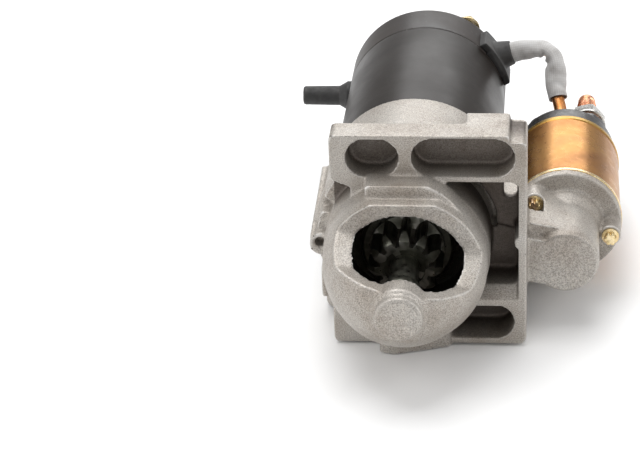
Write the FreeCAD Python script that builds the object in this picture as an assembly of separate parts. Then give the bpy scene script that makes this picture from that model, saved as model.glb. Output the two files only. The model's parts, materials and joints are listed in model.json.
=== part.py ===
"""Starter motor with planetary gear reduction and a side-mounted solenoid, in millimetres.

The origin lies on the motor axis, in the plane of the bracket's front face.
+X points towards the solenoid, +Y from the nose towards the end cap, +Z up.
"""
import FreeCAD, Part
import math
import os

Vector = FreeCAD.Vector
ORIGIN = Vector(0, 0, 0)
Y_AXIS = Vector(0, 1, 0)

# Motor body
CAN_R = 33.0
CAN_WALL = 2.6
CAN_FRONT = 58.0
CAN_REAR = 138.5
CAN_BORE = CAN_R - CAN_WALL
COLLAR_R = 34.8
COLLAR_REAR = 64.2
CAP_LEDGE = 161.0
PLATEAU_R = 29.0
PLATEAU_REAR = 163.8
HUB_R = 13.6
HUB_REAR = 168.0
BUTTON_R = 5.5
BUTTON_REAR = 172.0

# Bracket plate of the drive end housing
PLATE_LEFT = -27.5
PLATE_RIGHT = 44.3
PLATE_TOP = 49.0
PLATE_STEP_X = 38.0
PLATE_STEP_TOP = 46.3
PLATE_BOTTOM = -37.5
PLATE_DEPTH = 20.4
POCKET_DEPTH = 11.0
WINDOW_DEPTH = 17.8
UPPER_WINDOW_DEPTH = 16.7
LOWER_POCKET_DEPTH = 16.0
DIMPLE_DEPTH = 9.0

# Nose of the drive end housing
# Each ring of the nose is (distance along Y, height of its centre, radius).
NOSE_RINGS = (
    (0.0, 0.5, 31.0),
    (-8.0, 0.8, 30.3),
    (-15.0, 1.2, 29.6),
    (-21.0, 2.0, 28.0),
    (-26.0, 2.6, 26.3),
    (-30.5, 2.8, 24.2),
    (-34.0, 2.6, 21.6),
    (-37.5, 2.0, 18.0),
    (-40.5, 1.2, 13.8),
    (-43.0, 0.0, 9.5),
)
BARREL_R = NOSE_RINGS[0][2]
BARREL_Z = NOSE_RINGS[0][1]
NOSE_CUT_Y = -15.0
TREAD_Z = 28.4
TREAD_REAR = -9.4
BOSS_R = 8.7
BOSS_FRONT = -48.5
DRIVE_BORE = 25.0

# Solenoid
SOLENOID_X = 58.7
SOLENOID_Z = -10.8
SOLENOID_OFFSET = math.hypot(SOLENOID_X, SOLENOID_Z)
LEAN = math.degrees(math.atan2(-SOLENOID_Z, SOLENOID_X))
SNOUT_R = 12.7
SNOUT_FRONT = 15.0
SNOUT_BORE = 10.4
FLANGE_R = 21.7
FLANGE_FRONT = 47.3
FLANGE_REAR = 50.5
CASE_R = 21.3
CASE_BORE = 20.0
CASE_REAR = 101.1
CAP_R = 19.9
CAP_REAR = 112.0
STUD_R = 4.0
THREAD_ROOT_SHARE = 0.83
STUD_TIP = 142.0
STUD_CIRCLE_R = 12.7
STUD_ANGLE = 46.5
SWITCH_STUD = (SOLENOID_X + 9.6, SOLENOID_Z - 8.6)
SWITCH_STUD_R = 2.5
SWITCH_STUD_TIP = 130.0
NUT_HEIGHT = 8.0
SEAT_HEIGHT = 1.5
MOTOR_NUT_LIFT = 2.2
BATTERY_NUT_LIFT = 0.1

# Shift mechanism
LEVER_PIVOT_X = 36.0
LEVER_PIVOT_Y = 32.6
PLUNGER_TRAVEL = 11.0
PLUNGER_ARM = SOLENOID_OFFSET - LEVER_PIVOT_X
LEVER_TILT = math.degrees(math.atan2(PLUNGER_TRAVEL / 2, PLUNGER_ARM))
GROOVE_Y = LEVER_PIVOT_Y + LEVER_PIVOT_X * math.sin(math.radians(LEVER_TILT))
HOOK_Y = LEVER_PIVOT_Y - PLUNGER_TRAVEL / 2
PAD_R = 2.6
GROOVE_HALF = 2.95
SLEEVE_R = 10.0
SLEEVE_FLANGE_R = 13.5
SLEEVE_REAR = 46.5
FORK_INNER_R = 14.2
FORK_OUTER_R = 17.2
PLUNGER_R = 8.5
PLUNGER_REAR = 77.0
CORE_FRONT = PLUNGER_REAR + PLUNGER_TRAVEL
CONTACT_TRAVEL = 2.0
DISC_FRONT = 103.2
DISC_THICKNESS = 2.0
STUD_HEAD_FRONT = DISC_FRONT + DISC_THICKNESS + CONTACT_TRAVEL + 0.1

# Shafts and running fits
SHAFT_R = 5.4
RUNNING_GAP = 0.07
ARMATURE_SHAFT_R = 4.5
PILOT_R = 3.0

# Starter pinion
PINION_TEETH = 11
PINION_MODULE = 2.117
PINION_TIP_R = 14.0
PINION_TOOTH_WIDTH = 3.6
PINION_FRONT = -10.0
PINION_REAR = 5.0
PRESSURE_ANGLE = math.radians(20)
CLUTCH_R = 17.5
CLUTCH_FRONT = 6.9
CLUTCH_REAR = 30.0
ROLLER_COUNT = 6
ROLLER_R = 2.5
ROLLER_CIRCLE_R = 11.85

# Planetary reduction
GEAR_MODULE = 1.1
SUN_TEETH = 12
PLANET_TEETH = 15
RING_TEETH = 42
PLANET_COUNT = 3
CENTRE_DISTANCE = GEAR_MODULE * (SUN_TEETH + PLANET_TEETH) / 2
GEAR_FRONT = 56.0
GEAR_REAR = 64.0
CARRIER_FRONT = 51.2
CARRIER_REAR = 55.2
SHIELD_FRONT = 47.5
SHIELD_REAR = 50.4
INSERT_R = 30.2

# Electric motor
CORE_R = 24.5
CORE_START = 78.0
CORE_END = 118.0
MAGNET_INNER_R = 25.3
MAGNET_SPAN = 46.0
MAGNET_COUNT = 6
COMMUTATOR_R = 12.0
SLOT_COUNT = 21
BRUSH_ANGLES = (24.6, 84.6, 204.6, 264.6)
BRUSH_FRONT = 132.0
BRUSH_REAR = 140.0
BRUSH_HALF_WIDTH = 3.2
BRUSH_OUTER_R = 21.0
BRUSH_PLATE_FRONT = 143.0
BRUSH_PLATE_REAR = 145.5
HOLDER_OUTER_R = 25.2

# Fasteners
BOLT_PLACES = ((16.3, 22.9), (-16.3, -22.9))
BOLT_R = 2.2
BOLT_FRONT = 30.0
BOLT_AF = 8.0
PLATE_SCREW_PLACES = ((20.8, 10.7), (-19.9, -10.8))
PLATE_SCREW_R = 2.0
SOLENOID_SCREW_ANGLES = (134.0, 245.0, 355.5)
SOLENOID_SCREW_CIRCLE_R = 17.2
SOLENOID_SCREW_SEAT = 40.0
SOLENOID_BOSS_R = 4.2
NUT_AF = 13.0
MOUNT_HOLE_R = 4.25
MOUNT_HOLE_X = 26.0
MOUNT_HOLE_Y = 32.0
MOUNT_HOLE_DEPTH = 14.0

# Lead and vent
LEAD_EXIT_Y = 146.0
LEAD_R = 2.6
SLEEVE_OUTER_R = 4.2
VENT_Y = 148.0
VENT_Z = -2.5
VENT_TIP_X = -53.6
LEAD_ROUTE = (
    (29.0, 146.0, 16.6),
    (41.5, 146.0, 20.6),
    (54.0, 143.5, 21.0),
    (54.4, 136.5, 6.0),
    (57.0, 127.0, -1.5),
    (57.6, 117.5, -7.0),
)


# ---------------------------------------------------------------- basic shapes

def cyl(radius, y0, y1, x=0.0, z=0.0):
    return Part.makeCylinder(radius, y1 - y0, Vector(x, y0, z), Y_AXIS)


def tube(outer, inner, y0, y1, x=0.0, z=0.0):
    return cyl(outer, y0, y1, x, z).cut(cyl(inner, y0 - 1, y1 + 1, x, z))


def box(x0, x1, y0, y1, z0, z1):
    return Part.makeBox(x1 - x0, y1 - y0, z1 - z0, Vector(x0, y0, z0))


def rounded_wire(points, radii):
    """Closed wire through corner points, each corner rounded by a tangent arc."""
    count = len(points)
    corners = []
    for i in range(count):
        corner = points[i]
        to_before = (points[i - 1] - corner).normalize()
        to_after = (points[(i + 1) % count] - corner).normalize()
        if radii[i] == 0:
            corners.append((corner, None, corner))
            continue
        half = to_before.getAngle(to_after) / 2
        reach = radii[i] / math.tan(half)
        bisector = (to_before + to_after).normalize()
        middle = corner + bisector * (radii[i] / math.sin(half) - radii[i])
        corners.append((corner + to_before * reach, middle, corner + to_after * reach))
    edges = []
    for i in range(count):
        start, middle, end = corners[i]
        if middle is not None:
            edges.append(Part.Arc(start, middle, end).toShape())
        following = corners[(i + 1) % count][0]
        if (following - end).Length > 1e-6:
            edges.append(Part.LineSegment(end, following).toShape())
    return Part.Wire(edges)


def radii_for(points, radius):
    return radius if isinstance(radius, (list, tuple)) else [radius] * len(points)


def prism_y(outline, y0, y1, radius=0):
    """Prism along Y; the outline is a list of (x, z)."""
    points = [Vector(x, y0, z) for x, z in outline]
    face = Part.Face(rounded_wire(points, radii_for(points, radius)))
    return face.extrude(Vector(0, y1 - y0, 0))


def prism_x(outline, x0, x1, radius=0):
    """Prism along X; the outline is a list of (y, z)."""
    points = [Vector(x0, y, z) for y, z in outline]
    face = Part.Face(rounded_wire(points, radii_for(points, radius)))
    return face.extrude(Vector(x1 - x0, 0, 0))


def prism_z(outline, z0, z1, radius=0):
    """Prism along Z; the outline is a list of (x, y)."""
    points = [Vector(x, y, z0) for x, y in outline]
    face = Part.Face(rounded_wire(points, radii_for(points, radius)))
    return face.extrude(Vector(0, 0, z1 - z0))


def turned(profile, radius=0, x=0.0, z=0.0):
    """Solid of revolution about a line along Y; the profile is a list of (r, y)."""
    points = [Vector(x + r, y, z) for r, y in profile]
    face = Part.Face(rounded_wire(points, radii_for(points, radius)))
    return face.revolve(Vector(x, 0, z), Y_AXIS, 360)


def hexagon(across_flats, y0, y1, x, z, turn=0.0):
    corner_r = across_flats / math.sqrt(3)
    outline = []
    for i in range(6):
        angle = math.radians(turn + 60 * i)
        outline.append((x + corner_r * math.cos(angle), z + corner_r * math.sin(angle)))
    return prism_y(outline, y0, y1)


def joined(shapes):
    return shapes[0].fuse(list(shapes[1:])).removeSplitter()


def group(shapes):
    return Part.makeCompound(list(shapes))


def polar(radius, angle, x=0.0, z=0.0):
    return (x + radius * math.cos(math.radians(angle)), z + radius * math.sin(math.radians(angle)))


def in_lever_plane(shape):
    """Turn a shape built with the solenoid axis straight out along +X down onto its real line."""
    copy = shape.copy()
    copy.rotate(ORIGIN, Y_AXIS, LEAN)
    return copy


def at_angle(shape, angle):
    """Turn a shape built on the +X side about the motor axis, towards +Z."""
    copy = shape.copy()
    copy.rotate(ORIGIN, Y_AXIS, -angle)
    return copy


def coil(radius, wire_r, length, turns):
    """Helical spring that starts at the origin and runs along +Z."""
    path = Part.makeHelix(length / turns, length, radius)
    section = Part.Wire(Part.makeCircle(wire_r, Vector(radius, 0, 0), Y_AXIS))
    return Part.Wire(path).makePipeShell([section], True, True)


def coil_along_y(radius, wire_r, y0, y1, turns, x=0.0, z=0.0):
    spring = coil(radius, wire_r, y1 - y0 - 2 * wire_r, turns)
    spring.rotate(ORIGIN, Vector(1, 0, 0), -90)
    spring.translate(Vector(x, y0 + wire_r, z))
    return spring


# ---------------------------------------------------------------- gear teeth

def toothed_prism(teeth, flank, phase, y0, y1):
    """Gear body whose tooth flank is a list of (radius, half angle) from root to tip."""
    outline = []
    for i in range(teeth):
        centre = phase + 2 * math.pi * i / teeth
        for radius, half in flank:
            outline.append((radius * math.cos(centre - half), radius * math.sin(centre - half)))
        for radius, half in reversed(flank):
            outline.append((radius * math.cos(centre + half), radius * math.sin(centre + half)))
    return prism_y(outline, y0, y1)


def straight_flank(teeth, inward=False):
    """Low, thin tooth with straight sides, so meshing gears keep some backlash."""
    pitch_r = GEAR_MODULE * teeth / 2
    outwards = -1 if inward else 1
    half_pitch_width = 0.20 * math.pi * GEAR_MODULE
    addendum = 0.8 * GEAR_MODULE
    dedendum = 1.1 * GEAR_MODULE
    flank = []
    for height in (-dedendum, addendum):
        radius = pitch_r + outwards * height
        half_width = half_pitch_width - height * math.tan(PRESSURE_ANGLE)
        flank.append((radius, half_width / radius))
    return flank


def involute(angle):
    return math.tan(angle) - angle


def pinion_flank():
    pitch_r = PINION_MODULE * PINION_TEETH / 2
    base_r = pitch_r * math.cos(PRESSURE_ANGLE)
    root_r = pitch_r - 1.25 * PINION_MODULE
    at_base = PINION_TOOTH_WIDTH / (2 * pitch_r) + involute(PRESSURE_ANGLE)
    steps = 5
    flank = [(root_r, at_base + 0.03)]
    for i in range(steps + 1):
        radius = base_r + (PINION_TIP_R - base_r) * i / steps
        flank.append((radius, at_base - involute(math.acos(base_r / radius))))
    return flank


def mesh_phases():
    """Tooth phases of the sun (0), each planet and the ring, with teeth centred in gaps."""
    planets = []
    ring = 0.0
    for i in range(PLANET_COUNT):
        place = 2 * math.pi * i / PLANET_COUNT + math.pi / 2
        sun_share = (place * SUN_TEETH / (2 * math.pi)) % 1.0
        phase = place + math.pi + (sun_share + 0.5) * 2 * math.pi / PLANET_TEETH
        planets.append((place, phase))
        planet_share = ((place - phase) * PLANET_TEETH / (2 * math.pi)) % 1.0
        ring = place - planet_share * 2 * math.pi / RING_TEETH + math.pi / RING_TEETH
    return planets, ring


def bolt_clearance(radius, y0, y1):
    return [cyl(radius, y0, y1, x, z) for x, z in BOLT_PLACES]


# ---------------------------------------------------------------- drive end housing

def bracket_plate():
    outline = [
        (PLATE_LEFT, PLATE_TOP), (PLATE_STEP_X, PLATE_TOP), (PLATE_STEP_X, PLATE_STEP_TOP),
        (PLATE_RIGHT, PLATE_STEP_TOP), (PLATE_RIGHT, PLATE_BOTTOM), (-28.1, PLATE_BOTTOM),
        (-28.1, -8.0), (-20.0, 0.0), (-20.0, 28.0), (PLATE_LEFT, 31.0),
    ]
    plate = prism_y(outline, 0, PLATE_DEPTH, [2.5, 1, 0.8, 2, 2.5, 2, 1, 1, 1, 1])
    chamfer = prism_x([(10.7, 49.5), (10.7, PLATE_TOP), (PLATE_DEPTH + 0.2, 41.3), (24, 41.3), (24, 49.5)],
                      -40, 21.9)
    left_pill = prism_y([(-21.4, 32.3), (-2.2, 32.3), (-2.2, 47.4), (-21.4, 47.4)], -1, POCKET_DEPTH, 7.5)
    right_pill = prism_y([(2.5, 32.6), (39.9, 32.6), (39.9, 47.5), (2.5, 47.5)], -1, POCKET_DEPTH, 7.4)
    window = prism_y([(5, -14.2), (41.4, -14.2), (41.4, 2.8), (5, 13.6)], -1, WINDOW_DEPTH, [1, 3, 0, 0])
    upper_window = prism_y([(5, 13.6), (41.4, 2.8), (41.4, 30.2), (5, 30.2)], -1, UPPER_WINDOW_DEPTH,
                           [0, 0, 3, 1])
    sill = prism_x([(-1, -19.4), (5, -14.2), (5, -10), (-1, -10)], 5, 41.4)
    lower_pill = prism_y([(8, -35.0), (39.7, -35.0), (39.7, -21.0), (8, -21.0)], -1, LOWER_POCKET_DEPTH, 6.9)
    dimple = prism_y([(-26.2, -28.8), (-8, -28.8), (-8, -10), (-26.2, -10)], -1, DIMPLE_DEPTH, 6)
    barrel = cyl(BARREL_R, -2, WINDOW_DEPTH + 1, 0, BARREL_Z)
    rear_slot = prism_y([(35.6, 16.3), (40.5, 16.3), (40.5, 25.0), (35.6, 25.0)], 0, PLATE_DEPTH + 1, 1.2)
    wall_bump = cyl(2.6, 0, WINDOW_DEPTH + 1, 42.4, 5.5)
    ejector_ring = tube(3.3, 2.8, PLATE_DEPTH - 0.3, PLATE_DEPTH + 1, 33.0, 29.9)
    beside_barrel = [hollow.cut(barrel) for hollow in (window, upper_window, sill, lower_pill, dimple)]
    hollows = [chamfer, left_pill, right_pill, rear_slot, ejector_ring] + beside_barrel
    return plate.cut(hollows).fuse(wall_bump.common(plate))


def nose_solid():
    """Barrel, rounded nose whose rings rise towards its middle, and shaft boss."""
    rings = []
    for y, centre_z, radius in NOSE_RINGS:
        rings.append(Part.Wire(Part.makeCircle(radius, Vector(0, y, centre_z), Y_AXIS)))
    nose = Part.makeLoft(rings, True, False)
    barrel = cyl(BARREL_R, 0, PLATE_DEPTH, 0, BARREL_Z)
    boss = turned([(0, -38.0), (10.5, -38.0), (10.5, -43.2), (BOSS_R, -44.6), (BOSS_R, BOSS_FRONT + 1),
                   (BOSS_R - 1, BOSS_FRONT), (0, BOSS_FRONT)])
    return joined([nose, barrel, boss])


def solenoid_screw_places():
    return [polar(SOLENOID_SCREW_CIRCLE_R, angle, SOLENOID_X, SOLENOID_Z) for angle in SOLENOID_SCREW_ANGLES]


def solenoid_arm():
    """Arm from the collar to the snout, built with the solenoid straight out along +X."""
    reach = SOLENOID_OFFSET
    arm = box(24, reach, 18.5, FLANGE_REAR, -12.5, 12.5)
    arm_front = box(43.5, reach, SNOUT_FRONT, 30, -10.5, 7.8)
    snout = turned([(0, SNOUT_FRONT), (SNOUT_R - 0.9, SNOUT_FRONT), (SNOUT_R, SNOUT_FRONT + 2.2),
                    (SNOUT_R, 40), (14.5, 46), (14.5, FLANGE_FRONT), (FLANGE_R - 0.4, FLANGE_FRONT),
                    (FLANGE_R, FLANGE_FRONT + 1), (FLANGE_R, FLANGE_REAR), (0, FLANGE_REAR)],
                   [0, 1, 1, 0, 0, 0, 0, 0, 0, 0], x=reach)
    brace = prism_y([(28, 10), (reach - 4, 10), (reach - 4, -10), (28, -16)], 34, FLANGE_REAR)
    bosses = [cyl(SOLENOID_BOSS_R, SOLENOID_SCREW_SEAT, FLANGE_REAR, x, z) for x, z in solenoid_screw_places()]
    return joined([in_lever_plane(joined([arm, arm_front, snout, brace]))] + bosses)


def pivot_cylinder():
    """The lever's pivot, standing across the lever plane."""
    return Part.makeCylinder(3.0, 16.5, Vector(LEVER_PIVOT_X, LEVER_PIVOT_Y, -9.5), Vector(0, 0, 1))


def lever_tunnel():
    """Hollow for the shift lever and the plunger, in the same place as the arm."""
    reach = SOLENOID_OFFSET
    slot = box(15, reach + 4, 19.5, FLANGE_REAR + 1, -6, 6)
    bore = cyl(SNOUT_BORE, SNOUT_FRONT + 3, FLANGE_REAR + 1, reach)
    return in_lever_plane(joined([slot, bore, pivot_cylinder()]))


def collar_ears():
    """Two ribs on the side of the collar away from the solenoid, and the webs that meet them."""
    upper = prism_x([(9, -3), (9, 3.0), (59.5, 7.6), (59.5, 4.0), (20, -3)], -36.8, -28, 0.8)
    upper_end = cyl(4.6, 8.5, 18, -32.4, -0.4)
    bump = prism_y([(-35.4, 0), (-32.6, 11.5), (-27, 11.5), (-27, 0)], 12, 20, [0.5, 1, 0.5, 0.5])
    web = prism_y([(-23.4, 31), (-31.2, 18), (-24, 12), (-18, 28)], 12, 24, 0.5)
    lower = prism_x([(22, -17.5), (59.5, -17.5), (59.5, -25), (40, -31), (22, -31)], -34.6, -16, 1.5)
    return [upper, upper_end, bump, web, lower]


def drive_end_housing():
    collar = turned([(0, 18), (36.0, 18), (36.0, 23), (COLLAR_R, 28), (COLLAR_R, COLLAR_REAR),
                     (0, COLLAR_REAR)], [0, 2, 3, 3, 0.8, 0])
    top_step = prism_y([(-13.9, 20), (22.3, 20), (21.8, 22.2), (17.5, 27.0), (13.4, 30.6), (9.0, 33.0),
                        (-13.9, 33.0)], TREAD_REAR, 2, [0, 0, 1, 4, 4, 3, 1])
    tread_cut = box(-BARREL_R, BARREL_R, NOSE_CUT_Y - 4, TREAD_REAR, TREAD_Z, 40)
    gusset = prism_x([(19.5, 12), (19.5, -26), (50, -26), (50, -8), (34, 8)], 38.0, PLATE_RIGHT, 0)
    foot = prism_z([(-10.5, 4), (-10.5, -7.0), (-5.0, -8.3), (16.0, -1.7), (16.5, 4)], -38, -24,
                   [0, 1.5, 2, 1, 0])
    bosses = []
    for side in (-1, 1):
        boss = Part.makeCylinder(8.0, 26.0, Vector(side * MOUNT_HOLE_X, MOUNT_HOLE_Y, PLATE_BOTTOM))
        web = box(side * MOUNT_HOLE_X - 3, side * MOUNT_HOLE_X + 3, PLATE_DEPTH - 2, MOUNT_HOLE_Y,
                  PLATE_BOTTOM, -12)
        bosses += [boss, web]
    casting = joined([bracket_plate(), nose_solid(), collar, top_step, gusset, foot, solenoid_arm()]
                     + bosses + collar_ears())
    opening = prism_x([(NOSE_CUT_Y, 60), (NOSE_CUT_Y, 14.0), (-28, 6.8), (-60, 6.8), (-60, 60)],
                      -60, 60, [0, 2, 5, 0, 0])
    opening = in_lever_plane(opening).cut(cyl(10.0, -60, -34.5))
    drive_cavity = turned([(0, SHIELD_FRONT + 0.1), (0, -36.5), (7.6, -36.5), (14.0, -34.8), (18.6, -29.8),
                           (22.4, -22), (DRIVE_BORE - 1, NOSE_CUT_Y), (DRIVE_BORE - 1, 0), (DRIVE_BORE, 6),
                           (DRIVE_BORE, SHIELD_FRONT + 0.1)], [0, 0, 0, 2, 6, 8, 4, 0, 0, 0])
    crescent = tube(34.0, BARREL_R, -1, 26, 0, BARREL_Z).common(box(20, 33, -2, 27, 3, 29))
    stamp = tube(5.1, 4.6, SNOUT_FRONT - 1, SNOUT_FRONT + 0.35, 57.5, -10.5)
    ear_hole = cyl(2.0, 7.5, 14, -33.0, 0.5)
    bush_bore = cyl(7.2, -47.2, -36)
    gear_bore = cyl(CAN_BORE, SHIELD_FRONT, CAN_FRONT + 1)
    can_seat = cyl(CAN_R + 0.05, CAN_FRONT, COLLAR_REAR + 1)
    holes = bolt_clearance(BOLT_R + 0.05, BOLT_FRONT - 1, CAN_FRONT)
    for x, z in solenoid_screw_places():
        holes.append(cyl(BOLT_R + 0.2, SOLENOID_SCREW_SEAT - 1, FLANGE_REAR + 1, x, z))
        holes.append(cyl(3.7, 30, SOLENOID_SCREW_SEAT, x, z))
    for side in (-1, 1):
        holes.append(Part.makeCylinder(MOUNT_HOLE_R, MOUNT_HOLE_DEPTH + 1,
                                       Vector(side * MOUNT_HOLE_X, MOUNT_HOLE_Y, PLATE_BOTTOM - 1)))
    cavities = [tread_cut, opening, drive_cavity, crescent, stamp, ear_hole, bush_bore, gear_bore, can_seat,
                lever_tunnel()]
    return casting.cut(cavities + holes).removeSplitter()


# ---------------------------------------------------------------- motor body

def field_frame():
    return tube(CAN_R, CAN_BORE, CAN_FRONT, CAN_REAR)


def field_magnets():
    """Arc magnets, with a gap between two of them at each through bolt."""
    first_gap = math.degrees(math.atan2(BOLT_PLACES[0][1], BOLT_PLACES[0][0]))
    magnets = []
    for i in range(MAGNET_COUNT):
        middle = first_gap + 360.0 / MAGNET_COUNT * (i + 0.5)
        profile = [Vector(MAGNET_INNER_R, 76, 0), Vector(INSERT_R, 76, 0), Vector(INSERT_R, 120, 0),
                   Vector(MAGNET_INNER_R, 120, 0)]
        face = Part.Face(Part.makePolygon(profile + profile[:1]))
        magnet = face.revolve(ORIGIN, Y_AXIS, MAGNET_SPAN)
        magnets.append(at_angle(magnet, middle + MAGNET_SPAN / 2))
    return group(magnets)


def rear_cover():
    shell = turned([(0, PLATEAU_REAR - 4), (0, BUTTON_REAR), (BUTTON_R, BUTTON_REAR), (BUTTON_R, HUB_REAR - 2.2),
                    (BUTTON_R + 1.3, HUB_REAR - 2.2), (BUTTON_R + 1.3, HUB_REAR), (HUB_R, HUB_REAR),
                    (HUB_R + 0.8, CAP_LEDGE), (CAN_R, CAP_LEDGE), (CAN_R, CAN_REAR), (CAN_R - 2, CAN_REAR),
                    (CAN_R - 2, CAP_LEDGE - 2.4), (11, CAP_LEDGE - 2.4), (10, PLATEAU_REAR - 4)],
                   [0, 0, 1.4, 0, 0, 0.8, 2.0, 0, 4.0, 0, 0, 2.0, 0, 0])
    plateau = turned([(0, CAP_LEDGE - 1), (0, PLATEAU_REAR), (PLATEAU_R - 0.6, PLATEAU_REAR),
                      (PLATEAU_R + 0.6, CAP_LEDGE - 1)], [0, 0, 1.8, 0])
    pocket = [(28.6, -7.6), (20.8, 5.4), (15.2, 7.8), (14.6, 14.0), (10.8, 16.8), (9.2, 21.0), (10.6, 32.0),
              (36, 32), (36, -7.6)]
    for turn in (0, 180):
        angle = math.radians(turn)
        outline = [(x * math.cos(angle), z * math.cos(angle)) for x, z in pocket]
        plateau = plateau.cut(prism_y(outline, CAP_LEDGE, PLATEAU_REAR + 1, [0, 2, 3, 2, 2, 3, 2, 0, 0]))
    bearing_bore = cyl(7.0, PLATEAU_REAR - 5, HUB_REAR - 3.2)
    holes = bolt_clearance(BOLT_R + 0.1, CAP_LEDGE - 4, CAP_LEDGE + 1)
    holes += [cyl(2.1, CAP_LEDGE - 4, CAP_LEDGE + 1, x, z) for x, z in PLATE_SCREW_PLACES]
    vent_hole = Part.makeCylinder(4.0, 10, Vector(-CAN_R - 2, VENT_Y, VENT_Z), Vector(1, 0, 0))
    lead_notch = at_angle(box(27, 36, CAN_REAR - 1, 152.0, -6.0, 6.0), 29.0)
    return joined([shell, plateau]).cut([bearing_bore, vent_hole, lead_notch] + holes)


def brush_plate():
    plate = tube(30.6, 8.5, BRUSH_PLATE_FRONT, BRUSH_PLATE_REAR)
    cuts = bolt_clearance(2.8, BRUSH_PLATE_FRONT - 1, BRUSH_PLATE_REAR + 1)
    for x, z in PLATE_SCREW_PLACES:
        cuts.append(cyl(PLATE_SCREW_R + 0.05, BRUSH_PLATE_FRONT - 1, BRUSH_PLATE_REAR + 1, x, z))
    return plate.cut(cuts)


def brush_holders():
    """Open box guides on the front of the brush plate, one for each brush."""
    outer_half = BRUSH_HALF_WIDTH + 1.1
    holders = []
    for angle in BRUSH_ANGLES:
        block = box(14.2, HOLDER_OUTER_R, BRUSH_FRONT - 1.1, BRUSH_PLATE_FRONT, -outer_half, outer_half)
        guide = box(10, HOLDER_OUTER_R - 0.9, BRUSH_FRONT - 0.3, BRUSH_REAR + 0.3,
                    -BRUSH_HALF_WIDTH - 0.3, BRUSH_HALF_WIDTH + 0.3)
        holders.append(at_angle(block.cut(guide), angle))
    return group(holders)


def brush(angle):
    block = box(COMMUTATOR_R - 0.6, BRUSH_OUTER_R, BRUSH_FRONT, BRUSH_REAR, -BRUSH_HALF_WIDTH, BRUSH_HALF_WIDTH)
    block = block.cut(cyl(COMMUTATOR_R + 0.1, BRUSH_FRONT - 1, BRUSH_REAR + 1))
    return at_angle(block, angle)


def brush_springs():
    springs = []
    for angle in BRUSH_ANGLES:
        spring = coil(2.4, 0.35, HOLDER_OUTER_R - 0.9 - BRUSH_OUTER_R - 0.7, 3)
        spring.rotate(ORIGIN, Y_AXIS, 90)
        spring.translate(Vector(BRUSH_OUTER_R + 0.35, (BRUSH_FRONT + BRUSH_REAR) / 2, 0))
        springs.append(at_angle(spring, angle))
    return group(springs)


def vent_tube():
    """Straight rubber breather tube with a flared base on the side of the end cap."""
    base_x = -CAN_R + 1.6
    profile = [(2.2, base_x), (3.9, base_x), (3.9, -CAN_R - 0.1), (6.2, -CAN_R - 0.1), (6.2, -CAN_R - 1.6),
               (4.2, -CAN_R - 5.0), (4.0, VENT_TIP_X + 0.8), (3.6, VENT_TIP_X), (2.2, VENT_TIP_X)]
    points = [Vector(x, VENT_Y + r, VENT_Z) for r, x in profile]
    face = Part.Face(Part.makePolygon(points + points[:1]))
    return face.revolve(Vector(0, VENT_Y, VENT_Z), Vector(1, 0, 0), 360)


def lead_grommet():
    """Rubber grommet in the notch of the end cap, with a flange that lies on the cap's side."""
    plug = box(30.8, 34.5, CAN_REAR + 0.2, 151.8, -5.8, 5.8)
    flange = tube(36.0, CAN_R + 0.05, CAN_REAR + 0.6, 153.0).common(box(20, 40, 130, 160, -10.5, 10.5))
    body = at_angle(joined([plug, flange]), 29.0)
    start = Vector(*LEAD_ROUTE[0])
    direction = (Vector(*LEAD_ROUTE[1]) - start).normalize()
    nozzle = Part.makeCone(6.4, 5.0, 6.5, start + direction, direction)
    hole = Part.makeCylinder(LEAD_R, 30, start - direction * 5, direction)
    return joined([body, nozzle]).cut(hole)


# ---------------------------------------------------------------- lead

def route_wire(points):
    """Straight runs joined by tangent arcs, each as large as its two runs allow."""
    edges = []
    begin = points[0]
    for i in range(1, len(points) - 1):
        corner = points[i]
        back = points[i - 1] - corner
        ahead = points[i + 1] - corner
        half_turn = (math.pi - back.getAngle(ahead)) / 2
        radius = 0.45 * min(back.Length, ahead.Length) / math.tan(half_turn)
        reach = radius * math.tan(half_turn)
        back.normalize()
        ahead.normalize()
        start = corner + back * reach
        end = corner + ahead * reach
        inward = (back + ahead).normalize()
        middle = corner + inward * (radius / math.cos(half_turn) - radius)
        print("lead bend", i, "radius", round(radius, 1))
        edges.append(Part.LineSegment(begin, start).toShape())
        edges.append(Part.Arc(start, middle, end).toShape())
        begin = end
    edges.append(Part.LineSegment(begin, points[-1]).toShape())
    return Part.Wire(edges)


def swept(wire, radius):
    first = wire.OrderedEdges[0]
    start = first.valueAt(first.FirstParameter)
    tangent = first.tangentAt(first.FirstParameter)
    circle = Part.Wire(Part.makeCircle(radius, start, tangent))
    return wire.makePipeShell([circle], True, True)


def stud_place(side):
    """Side +1 is the motor stud, side -1 the battery stud."""
    return polar(STUD_CIRCLE_R * side, STUD_ANGLE, SOLENOID_X, SOLENOID_Z)


def motor_lead():
    """Copper braid from the end cap to a flattened, pierced end under the motor stud's nut."""
    points = [Vector(*p) for p in LEAD_ROUTE]
    braid = swept(route_wire(points), LEAD_R)
    x, z = stud_place(1)
    end = points[-1]
    blade = prism_y([(x - 4.0, z + 4.4), (end.x - 3.0, end.z + 2.4), (end.x + 1.2, end.z - 3.6),
                     (x + 3.6, z - 4.6)], CAP_REAR + 1.6, CAP_REAR + 3.6)
    neck = Part.makeCylinder(LEAD_R, end.y - CAP_REAR - 2.0, Vector(end.x, CAP_REAR + 2.0, end.z), Y_AXIS)
    ring = cyl(6.6, CAP_REAR + 1.6, CAP_REAR + 3.6, x, z)
    hole = cyl(STUD_R + 0.1, CAP_REAR, CAP_REAR + 6, x, z)
    return joined([braid, Part.makeSphere(LEAD_R, end), neck, blade, ring]).cut(hole)


def stretch(edge, start_share, end_share):
    """The stretch of an edge between two shares of its length."""
    span = edge.LastParameter - edge.FirstParameter
    first = edge.FirstParameter
    return edge.Curve.toShape(first + span * start_share, first + span * end_share)


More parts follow.
